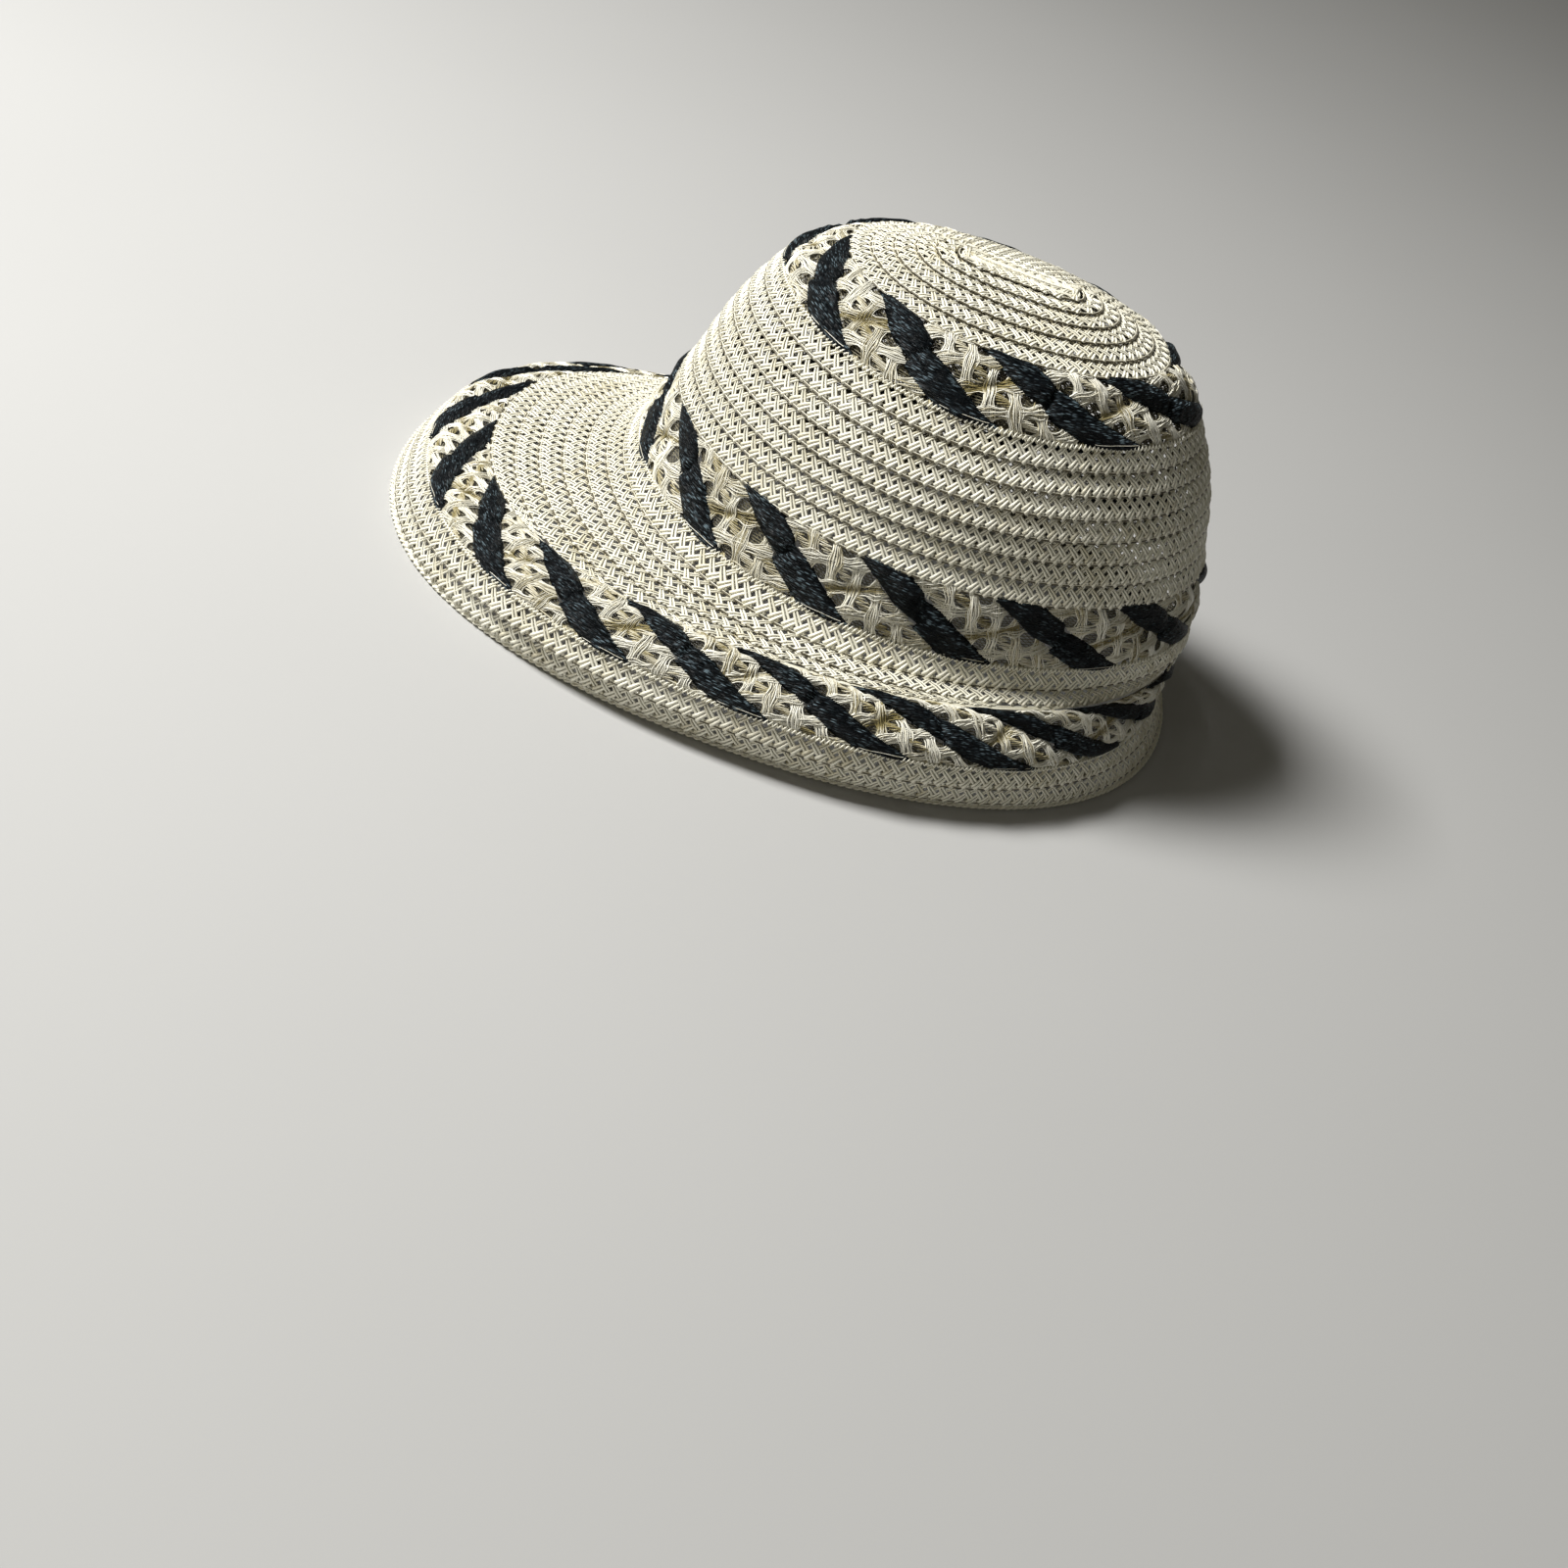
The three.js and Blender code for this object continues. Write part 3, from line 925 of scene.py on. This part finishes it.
@dataclass
class Braid:
    """The sewn rows of plaited braid, in four pieces."""

    plait: PlaitTree
    strands: StrandTree
    material: Material
    cell: PlaitCell = field(default_factory=PlaitCell)
    kinds: int = 5
    short_rows: int = 6
    short_least: float = 2.6
    seam: float = 0.5
    tuck: float = 0.25
    back_lift: float = 2.2
    back_turn: float = 0.25
    core: tuple[float, ...] = (0.0, 0.2, 0.4, 0.6, 0.8)
    core_height: float = -0.1
    core_radius: float = 0.5
    rim_radius: float = 0.5
    rim_gap: float = 0.45
    rim_twist: float = 5.5
    rim_flat: float = 0.9
    rim_sunk: float = -0.3

    def __post_init__(self) -> None:
        """Makes the variants of the plait cell."""
        self.cells = bpy.data.collections.new("plait_cells")
        bpy.context.scene.collection.children.link(self.cells)
        for seed in range(self.kinds):
            self.cells.objects.link(bpy.data.objects.new(f"plait_cell_{seed}", self.cell.mesh(seed)))

    def finish(self, name: str, rows: BraidRows) -> None:
        """Builds the plait and the strands of one piece.

        Args:
            name: The solid that they stand for.
            rows: Its rows.
        """
        self.plait.make(name + "_braid", rows.mesh(name), Slot.STRAW, name, Cells=self.cells, Kinds=self.kinds,
                        Seed=rows.seed, Material=self.material)
        self.strands.make(name + "_edges", rows.paths.mesh(name), Slot.STRAW, name, Sides=4, Material=self.material)

    def crown_tip(self) -> None:
        """The turns on top of the crown, which start as a long oval closed by a few strands."""
        rows = BraidRows(self.cell.pitch, 11)
        rows.rings([CENTRE, 1, 2, 3, 4, 5, UPPER.start_turn], first=0.3, last=rows.over_band)
        angles = rows.angles[::12]
        for share in self.core:
            ring = HAT.over(CENTRE + (1 - CENTRE) * share, angles, self.core_height)
            rows.strand(ring, self.core_radius, 0.5, 1.0)
        left, right = np.split(HAT.over(CENTRE, angles, self.core_height), 2)
        for share in np.linspace(0, 1, len(self.core)):
            rows.strand(left + share * (right[::-1] - left), self.core_radius, 0.5, 1.0, closed=False)
        self.finish("crown_tip", rows)

    def crown_side(self) -> None:
        """The seven rows between the upper and the lower band."""
        rows = BraidRows(self.cell.pitch, 12)
        turns = list(np.arange(UPPER.end_turn, LOWER.start_turn + 1))
        rows.rings(turns, first=rows.from_band, last=rows.over_band)
        rows.loops(UPPER.end_turn)
        self.finish("crown_side", rows)

    def brim_inner(self) -> None:
        """The first brim row and the short rows in front, whose ends are tucked under the brim band."""
        rows = BraidRows(self.cell.pitch, 13, slack=1.15, sunk=-0.3, proud=0.25)
        start, end = LOWER.end_turn + 1, BRIM.start_turn
        behind = np.clip(-np.cos(rows.angles - self.back_turn), 0, 1) ** 3
        rows.row(rows.at(LOWER.end_turn, rows.from_band),
                 rows.at(start + rows.overhang, rows.proud + self.back_lift * behind))
        rows.loops(LOWER.end_turn)
        reach = np.linalg.norm(HAT.surface(end, rows.angles) - HAT.surface(start, rows.angles), axis=1)
        near = np.zeros_like(reach)
        for left in reversed(range(self.short_rows)):
            far = np.minimum((self.short_rows - left) * ROW, reach - self.seam - left * self.tuck)
            width = np.minimum(1, (far - near) / ROW)
            top, base = (start + (end - start) * edge / reach for edge in (near, far))
            sunk = rows.sunk * np.clip(width * 2, 0, 1)
            proud = (rows.proud if left else rows.over_band) * width
            rows.row(rows.at(top, sunk), rows.at(base, proud), self.short_least)
            near = far
        self.finish("brim_inner", rows)

    def brim_edge(self) -> None:
        """The two outer rows, the narrow last one and the twisted cord of the rim."""
        rows = BraidRows(self.cell.pitch, 14, slack=1.1)
        rows.rings([BRIM.end_turn, 31, 32], first=rows.from_band)
        rows.loops(BRIM.end_turn)
        lower = HAT.surface(RIM, rows.angles) + (0, 0, 2 * self.rim_radius)
        rows.row(rows.at(32, self.rim_sunk), lower + (0, 0, self.rim_gap))
        length = rows.around(lower)
        steps = np.arange(round(length[-1] / self.rim_twist) * 8)
        wanted = steps / len(steps) * length[-1]
        outward = np.stack([np.sin(rows.angles), -np.cos(rows.angles), 0 * rows.angles], 1)
        middle, side = (rows.along(run, length, wanted) for run in (lower, outward))
        for turn in (0.0, np.pi):
            phase = (np.pi / 4 * steps + turn)[:, None]
            offset = np.cos(phase) * side + np.sin(phase) * (0, 0, self.rim_flat)
            rows.strand(middle + self.rim_radius * offset, self.rim_radius, 0.5, 0.9)
        self.finish("brim_edge", rows)


@dataclass(frozen=True)
class Puff:
    """How the trim puffs up on both sides of a slanted crease across its middle."""

    crease: float = 0.5
    tilt: float = 0.3
    sharp: float = 0.035
    valley: float = 0.9
    least: float = 0.3

    def depth_from(self, depth: Array, share: Array) -> Array:
        """Depth from the crease, at a share of the way across."""
        return depth - self.crease - self.tilt * (0.5 - share)

    def lobes(self, depth: Array, share: Array) -> Array:
        """Share of the full height: 1 in the middle of each lobe, and low at both edges and the crease.

        Args:
            depth: Depths in the band.
            share: Shares of the way across.

        Returns:
            One share for each point.
        """
        line = self.crease + self.tilt * (0.5 - share)
        way = np.clip(np.where(depth < line, depth / line, (1 - depth) / (1 - line)), 0, 1)
        full = self.least + (1 - self.least) * np.sin(np.pi * way) ** 0.6
        return full * (1 - self.valley * bell(depth - line, self.sharp))


@dataclass
class LaceStrip:
    """A cream strip of net between two leaves: shiny bundles that cross around small windows, over a fine net.

    Distances are in millimetres, along the band from the leaf before the strip and down it from its top edge.
    """

    band: TrimBand
    index: int
    jitter: Jitter
    lace: StrandPaths
    net: StrandPaths
    base: float = 0.35
    height: float = 1.9
    overlap: float = 0.035
    pinch: float = 0.16
    pinch_run: float = 0.09
    lattice: float = 8.2
    reach: int = 6
    fibres: int = 11
    fibre_gap: float = 0.4
    fibre_least: float = 2.5
    swell: float = 0.28
    radius: float = 0.24
    weave: float = 0.19
    round_off: float = 0.06
    ripple: float = 0.14
    ripple_run: float = 7.0
    stray: float = 0.4
    painted_crease_shade: float = 0.8
    crease_run: float = 0.04
    pad_share: float = 0.25
    pad_half: float = 2.9
    pad_strands: int = 12
    pad_radius: float = 0.28
    step: float = 1.5
    net_gap: float = 0.85
    net_radius: float = 0.2
    net_sunk: tuple[float, float] = (-1.1, -1.3)

    def __post_init__(self) -> None:
        """Measures the strip, and draws its crease and the middle of its lattice."""
        band = self.band
        self.spacing = HAT.lap((band.start_turn + band.end_turn) / 2)[1][-1] / band.leaves
        self.fall = (band.end_turn - band.start_turn) * ROW
        self.shear = band.lean * self.spacing / self.fall
        self.near = (band.margin + band.width - self.overlap) * self.spacing
        self.far = (1 + band.margin + self.overlap) * self.spacing
        self.puff = Puff(crease=0.5 + self.jitter.uniform(-0.04, 0.04), valley=0.65)
        middle = np.array([(self.near + self.far) / 2 + self.shear * self.fall / 2, self.fall / 2])
        self.centre = middle + unit(np.array([self.shear, 1.0])) * self.jitter.uniform(-2.0, 2.0)

    def way(self, hand: int, turned: float = 0.0) -> Array:
        """Direction that leans to one side of the strip, 1 or -1, and is turned by an angle."""
        slant = math.atan2(1, self.shear) + hand * math.pi / 4 + turned
        return np.array([math.cos(slant), math.sin(slant)])

    def across(self, along: Array) -> Array:
        """Share of the way across the strip of distances along it."""
        return (along - self.near) / (self.far - self.near)

    def lay(self, puff: Puff, along: Array, down: Array, lift: Array) -> Array:
        """Points on a puffed strip.

        Args:
            puff: The strip's puffs.
            along: Distances along the band, less the slant.
            down: Distances down the band.
            lift: Heights over the puffed face.

        Returns:
            Points in millimetres.
        """
        depth, share = down / self.fall, self.across(along)
        pinch = self.pinch * bell(puff.depth_from(depth, share), self.pinch_run)
        drawn = 0.5 + (share - 0.5) * (1 - pinch)
        place = self.index + (self.near + (self.far - self.near) * drawn) / self.spacing
        arch = np.sin(np.pi * np.clip(share, 0, 1)) ** 0.6
        height = self.base + self.height * puff.lobes(depth, share) * arch + lift
        return self.band.point(place, np.clip(depth, 0, 1), height)

    def clip(self, start: Array, way: Array) -> tuple[float, float]:
        """Part of a straight line that lies in the strip.

        Args:
            start: A point of the line, as distance along and down the band.
            way: Its direction.

        Returns:
            The first and last distance along the line; the first is the larger where none of it lies there.
        """
        low, high = -math.inf, math.inf
        bounds = ((start[0] - self.shear * start[1], way[0] - self.shear * way[1], self.near, self.far),
                  (start[1], way[1], 0.0, self.fall))
        for value, slope, least, most in bounds:
            ends = sorted(((least - value) / slope, (most - value) / slope))
            low, high = max(low, ends[0]), min(high, ends[1])
        return low, high

    def bundle(self, hand: int, number: int) -> None:
        """Adds one bundle of parallel strands.

        Args:
            hand: 1 or -1, the side to which the bundle leans.
            number: The bundle's number in the lattice.
        """
        jitter = self.jitter
        way, side, across = self.way(hand), self.way(hand, math.pi / 2), self.way(-hand, math.pi / 2)
        shade = jitter.uniform(0.45, 1.0)
        for fibre in range(self.fibres):
            aside = (fibre - (self.fibres - 1) / 2) * self.fibre_gap + jitter.uniform(-0.1, 0.1)
            start = self.centre + side * (number * self.lattice + aside)
            low, high = self.clip(start, way)
            if high - low < self.fibre_least:
                continue
            t = np.linspace(low, high, max(4, math.ceil((high - low) / self.step)) + 1)
            stray = self.stray * np.sin(t / jitter.uniform(1.5, 3.0) + jitter.uniform(0, 6)) * jitter.uniform(0, 1)
            flat = start + t[:, None] * way
            crossing = (flat - self.centre) @ across / self.lattice
            stray += self.swell * aside * np.cos(2 * np.pi * crossing)
            flat += stray[:, None] * side
            lift = hand * self.weave * np.cos(np.pi * (number + crossing)) - self.round_off * aside**2
            lift += self.ripple * np.cos(2 * np.pi * t / self.ripple_run + jitter.uniform(0, 6))
            lift += jitter.uniform(-0.12, 0.12)
            along, down = flat[:, 0] - self.shear * flat[:, 1], flat[:, 1]
            away = self.puff.depth_from(down / self.fall, self.across(along))
            # Painted shade: strands darken near the crease, where the strip folds in.
            tone = shade + jitter.uniform(-0.45, 0.3) - self.painted_crease_shade * bell(away, self.crease_run)
            self.lace.add(self.lay(self.puff, along, down, lift), self.radius * jitter.uniform(0.7, 1.15),
                          np.clip(tone, -0.1, 1))

    def pad(self, centre: Array) -> None:
        """Fills one window with a small close pad of olive strands.

        Args:
            centre: The window's middle, as distance along and down the band.
        """
        tone = self.jitter.uniform(0.0, 0.4)
        run = np.linspace(-1, 1, 5)
        for row in np.linspace(-1, 1, self.pad_strands):
            half = self.pad_half * math.sqrt(1.2 - row**2)
            along = centre[0] - self.shear * centre[1] + half * run * self.jitter.uniform(0.85, 1.1)
            down = centre[1] + self.pad_half * row + 0.5 * run * self.jitter.uniform(-1, 1)
            inside = (along > self.near) & (along < self.far) & (down > 0) & (down < self.fall)
            if inside.all():
                lift = -0.5 + 0.6 * (1 - run**2) * (1 - row**2)
                self.lace.add(self.lay(self.puff, along, down, lift), self.pad_radius,
                              np.clip(tone + self.jitter.uniform(-0.15, 0.15), 0, 1))

    def ground(self) -> None:
        """Adds the fine net that closes the windows, first its strands along the band and then those down it; its
        dark colour is painted shade for the dark behind the windows.
        """
        puff, jitter = Puff(valley=0.5), self.jitter
        runs = [(np.linspace(self.near, self.far, 7), np.full(7, down), self.net_sunk[0], 0.15)
                for down in np.arange(0.5, self.fall, self.net_gap)]
        runs += [(np.full(9, along), np.linspace(0, self.fall, 9), self.net_sunk[1], 0.1)
                 for along in np.arange(self.near + 0.4, self.far, 2.2 * self.net_gap)]
        for along, down, sunk, uneven in runs:
            lift = sunk + jitter.uniform(-uneven, uneven, len(along))
            self.net.add(self.lay(puff, along, down, lift), self.net_radius, jitter.uniform(0, 1))

    def build(self) -> None:
        """Adds all the strands of the strip."""
        for hand in (1, -1):
            for number in range(-self.reach, self.reach + 1):
                self.bundle(hand, number)
        first, second = (self.way(hand, math.pi / 2) * self.lattice for hand in (1, -1))
        for i in range(-self.reach, self.reach):
            for j in range(-self.reach, self.reach):
                if (i + j) % 2 == 0 or self.jitter.uniform() < self.pad_share:
                    self.pad(self.centre + first * (i + 0.5) - second * (j + 0.5))
        self.ground()


@dataclass
class RibbonLeaf:
    """A dark leaf of a band: a puffed length of ribbon with a creased pinch in the middle.

    Depths are the band's, and shares go across the leaf from its first edge, 0, to its second, 1.
    """

    band: TrimBand
    index: int
    jitter: Jitter
    gap: float = 0.35
    edge: float = 0.5
    crown: float = 1.8
    thin: float = 0.1
    pinch: float = 0.08
    pinch_above: float = 0.1
    pinch_below: float = 0.035
    wander: float = 0.008
    bulge: float = 0.05
    fold: float = 0.38
    fold_run: float = 0.17
    fold_pitch: float = 0.085
    dent: float = 0.3
    wrinkle: float = 0.12
    rows: int = 60
    columns: int = 15
    length: float = 50.0
    breadth: float = 14.0
    stitch_depth: float = 0.955
    stitch_radius: float = 0.11
    stitch_points: int = 16

    def __post_init__(self) -> None:
        """Draws the leaf's crease and where its two edges begin to wander."""
        self.name = f"{self.band.name}_leaf_{self.index + 1:02d}"
        self.puff = Puff(crease=0.5 + self.jitter.uniform(-0.05, 0.05), tilt=self.jitter.uniform(0.22, 0.36),
                         sharp=0.022)
        self.phases = self.jitter.uniform(0, 6, 2)

    def point(self, depth: Array, share: Array, height: Number) -> Array:
        """Points of the leaf, whose lower end bulges over the next row of braid.

        Args:
            depth: Depths in the band.
            share: Shares of the way across.
            height: Heights over the band.

        Returns:
            Points in millimetres.
        """
        away = self.puff.depth_from(depth, share)
        drawn = self.pinch * bell(away, np.where(away < 0, self.pinch_above, self.pinch_below))
        near, far = (self.wander * np.sin(depth * 15 + phase) * np.sin(np.pi * depth) for phase in self.phases)
        place = self.index + self.band.margin
        place = place + (drawn + near) * (1 - share) + (self.band.width - drawn + far) * share
        bulged = depth + self.bulge * depth**8 * np.sin(np.pi * share) ** 0.7
        return self.band.point(place, bulged, height)

    def height(self, depth: Array, share: Array) -> Array:
        """Height of the leaf's face over the band, with the folds that the crease throws.

        Args:
            depth: Depths in the band.
            share: Shares of the way across.

        Returns:
            Heights in millimetres.
        """
        away = self.puff.depth_from(depth, share)
        arch = 1 - np.abs(2 * share - 1) ** 2.4
        phases = self.jitter.uniform(0, 6, 4)
        turned = 2 * np.pi * away / self.fold_pitch + 1.2 * np.sin(3 * share + phases[0])
        folds = self.fold * bell(away, self.fold_run) * np.sin(turned)
        dents = self.dent * np.sin(2 * np.pi * share * 1.3 + phases[1] + 5 * depth) * np.sin(9 * depth + phases[2])
        dents += self.wrinkle * np.sin(31 * depth + 8 * share + phases[3])
        raised = self.crown * self.puff.lobes(depth, share) * arch**0.8
        return self.gap + self.edge * arch**0.25 + raised + (folds + dents) * arch

    def faces(self) -> list[tuple[int, ...]]:
        """Lists the faces of a closed leaf: its upper side, its under side and the rim between them.

        Returns:
            Corners of each face.
        """
        n, m = self.rows, self.columns
        grid = np.arange(n * m).reshape(n, m)
        faces = []
        for i in range(n - 1):
            for j in range(m - 1):
                quad = tuple(int(grid[at]) for at in ((i, j), (i, j + 1), (i + 1, j + 1), (i + 1, j)))
                faces += [quad, tuple(n * m + corner for corner in reversed(quad))]
        rim = [*grid[0, :-1], *grid[:-1, -1], *grid[-1, :0:-1], *grid[:0:-1, 0]]
        return faces + [(a, n * m + a, n * m + b, b) for a, b in zip(rim, rim[1:] + rim[:1])]

    def build(self, material: Material, threads: StrandPaths) -> None:
        """Builds the leaf.

        Args:
            material: The ribbon's material.
            threads: Collects the stitch line along the leaf's lower edge.
        """
        depth, share = np.meshgrid(np.linspace(0, 1, self.rows), np.linspace(0, 1, self.columns), indexing="ij")
        height = self.height(depth, share)
        sides = [self.point(depth, share, level).reshape(-1, 3) for level in (height, self.gap - self.thin)]
        mesh = mesh_from(self.name + "_ribbon", np.concatenate(sides), self.faces())
        flat = np.stack([depth * self.length, share * self.breadth], -1).reshape(-1, 2)
        flat += self.jitter.uniform(0, 90, 2)
        corners = np.zeros(len(mesh.loops), np.int32)
        mesh.loops.foreach_get("vertex_index", corners)
        layer = mesh.uv_layers.new(name="UVMap")
        layer.data.foreach_set("uv", np.concatenate([flat, flat])[corners].astype(np.float32).ravel())
        face_outwards(mesh)
        mesh.shade_smooth()
        mesh.materials.append(material)
        seam = np.linspace(0.15, 0.85, self.stitch_points)
        deep = self.stitch_depth + 0.006 * np.sin(9 * seam)
        lift = np.interp(self.stitch_depth, depth[:, 0], height[:, self.columns // 2]) + 0.05
        threads.add(self.point(deep, seam, lift), self.stitch_radius, self.jitter.uniform(0.2, 1.0, len(seam)))
        dress(show(self.name + "_ribbon", mesh), Slot.RIBBON, self.name)


@dataclass
class Trim:
    """Everything on one band: its lace, the net behind it, its dark leaves and their stitches."""

    band: TrimBand
    strands: StrandTree
    lace: Material
    net: Material
    ribbon: Material
    seed: int

    def finish(self, ending: str, paths: StrandPaths, sides: int, material: Material) -> None:
        """Builds one set of strands, which stands for the band.

        Args:
            ending: What the piece's name ends in.
            paths: The strands' paths.
            sides: Sides of each strand.
            material: Their material.
        """
        name = self.band.name + ending
        self.strands.make(name, paths.mesh(name), Slot.LACE, f"{self.band.name}_band", Sides=sides,
                          Material=material)

    def build(self) -> None:
        """Builds the lace and the net, and then the leaves and their stitches."""
        lace, net, threads = StrandPaths(), StrandPaths(), StrandPaths()
        jitter = np.random.default_rng(self.seed)
        for index in range(self.band.leaves):
            LaceStrip(self.band, index, jitter, lace, net).build()
        self.finish("_band_lace", lace, 3, self.lace)
        self.finish("_band_net", net, 3, self.net)
        jitter = np.random.default_rng(self.seed + 10)
        for index in range(self.band.leaves):
            RibbonLeaf(self.band, index, jitter).build(self.ribbon, threads)
        self.finish("_stitches", threads, 4, self.lace)


@dataclass(frozen=True)
class Lamp:
    """A square soft light that points at the hat: its place and side in metres and its power in watts."""

    name: str
    place: tuple[float, float, float]
    side: float
    power: float
    colour: tuple[float, float, float]

    def build(self) -> None:
        """Places the light."""
        data = bpy.data.lights.new(self.name, "AREA")
        data.size, data.energy, data.color = self.side, self.power, self.colour
        light = show(self.name, data)
        light.location = self.place
        light.rotation_euler = (Vector((0, 0, 0.06)) - light.location).to_track_quat("-Z", "Y").to_euler()


@dataclass
class Studio:
    """Camera, pale floor and soft light."""

    azimuth: float = 87.17
    elevation: float = 34.01
    roll: float = 21.34
    distance: float = 828.73
    lens: float = 53.95
    sensor: float = 36.0
    centre: tuple[float, float, float] = (SET_ASIDE, SET_BACK, 60.0)
    aside: float = 50.28
    below: float = -109.05
    floor_half: float = 4000.0
    floor_tints: tuple[Colour, Colour] = ((0.43, 0.43, 0.425, 1), (0.46, 0.46, 0.455, 1))
    lamps: tuple[Lamp, ...] = (
        Lamp("key_light", (0.0, -0.9, 1.2), 0.45, 38.0, (1.0, 0.99, 0.965)),
        Lamp("fill_light", (1.1, -0.7, 0.3), 1.0, 2.2, (1.0, 0.96, 0.84)),
    )
    air: Colour = (1.0, 0.95, 0.78, 1)
    air_strength: float = 0.07

    def camera(self) -> None:
        """Places the camera at the photograph's angle to the hat."""
        a, e, r = (math.radians(v) for v in (self.azimuth, self.elevation, self.roll))
        forward = Vector((-math.sin(a) * math.cos(e), math.cos(a) * math.cos(e), -math.sin(e)))
        level = forward.cross(Vector((0, 0, 1))).normalized()
        down = forward.cross(level)
        right = math.cos(r) * level - math.sin(r) * down
        lower = math.sin(r) * level + math.cos(r) * down
        place = Vector(self.centre) - self.distance * forward - self.aside * right - self.below * lower
        data = bpy.data.cameras.new("camera")
        data.lens, data.sensor_width, data.clip_start = self.lens, self.sensor, 0.01
        camera = show("camera", data)
        axes = Matrix((right, -lower, -forward)).transposed().to_4x4()
        camera.matrix_world = Matrix.Translation(place * MM) @ axes
        bpy.context.scene.camera = camera

    def floor(self) -> None:
        """A wide pale floor that the rim stands on."""
        corners = self.floor_half * np.array([(-1, -1, 0), (1, -1, 0), (1, 1, 0), (-1, 1, 0)])
        floor = show("floor", mesh_from("floor", corners, [(0, 1, 2, 3)]))
        material, board, shader = new_material("floor")
        grain = board.noise(board.out("Object", "ShaderNodeTexCoord"), 3.0, 2.0)
        board.fill(shader, {"Base Color": board.blend(grain, *self.floor_tints), "Roughness": 0.8})
        floor.data.materials.append(material)

    def build(self) -> None:
        """Sets up the camera, the floor, the lights and the soft surroundings."""
        self.camera()
        self.floor()
        for lamp in self.lamps:
            lamp.build()
        world = bpy.data.worlds.new("surroundings")
        world.use_nodes = True
        NodeBoard(world.node_tree).fill(world.node_tree.nodes["Background"],
                                        {"Color": self.air, "Strength": self.air_strength})
        bpy.context.scene.world = world
        bpy.context.scene.view_settings.view_transform = "Standard"


FIBRE = {"Coat Roughness": 0.25, "Sheen Weight": 0.08}
STRAW_FINISH = Finish(
    "straw_braid",
    {"Light": (0.90, 0.875, 0.74, 1), "Deep": (0.60, 0.54, 0.36, 1), "Thin": (0.34, 0.29, 0.14, 1),
     "Streak Scale": 1500.0, "Gloss": 0.3},
    {"Coat Weight": 0.25, **FIBRE})
LACE_FINISH = Finish(
    "lace_strip",
    {"Light": (0.90, 0.88, 0.77, 1), "Deep": (0.56, 0.50, 0.32, 1), "Thin": (0.28, 0.23, 0.09, 1), "Gloss": 0.2},
    {"Coat Weight": 0.45, **FIBRE})
# The net strands are real, but their dark colours are painted shade for the dark behind the windows.
PAINTED_SHADE_NET_FINISH = Finish(
    "lace_net",
    {"Light": (0.20, 0.18, 0.11, 1), "Deep": (0.06, 0.05, 0.027, 1), "Thin": (0.03, 0.025, 0.014, 1), "Gloss": 0.3},
    {"Coat Weight": 0.2, **FIBRE})
# The Glint colour is a painted highlight on the ribbon's weave.
RIBBON_FINISH = Finish("dark_ribbon", {"Ground": (0.0015, 0.003, 0.0045, 1), "Glint": (0.19, 0.26, 0.30, 1)},
                       {"Specular IOR Level": 0.14}, relief=1.0, depth=0.0009)


def main() -> None:
    """Builds the hat piece by piece and sets it in its studio."""
    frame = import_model()
    fibre = fibre_tone_group()
    straw, lace, net = (finish.material(fibre) for finish in (STRAW_FINISH, LACE_FINISH, PAINTED_SHADE_NET_FINISH))
    ribbon = RIBBON_FINISH.material(ribbon_weave_group())
    strands = StrandTree()
    braid = Braid(PlaitTree(), strands, straw)
    Studio().build()
    braid.crown_tip()
    braid.crown_side()
    braid.brim_inner()
    braid.brim_edge()
    for seed, band in enumerate((UPPER, LOWER, BRIM), start=21):
        Trim(band, strands, lace, net, ribbon, seed).build()
    for cell in list(braid.cells.objects):
        bpy.data.objects.remove(cell)
    bpy.data.collections.remove(braid.cells)
    log.info("%d solids replaced", len(frame["nodes"]))


if __name__ == "__main__":
    logging.basicConfig(level=logging.INFO, format="%(message)s")
    main()
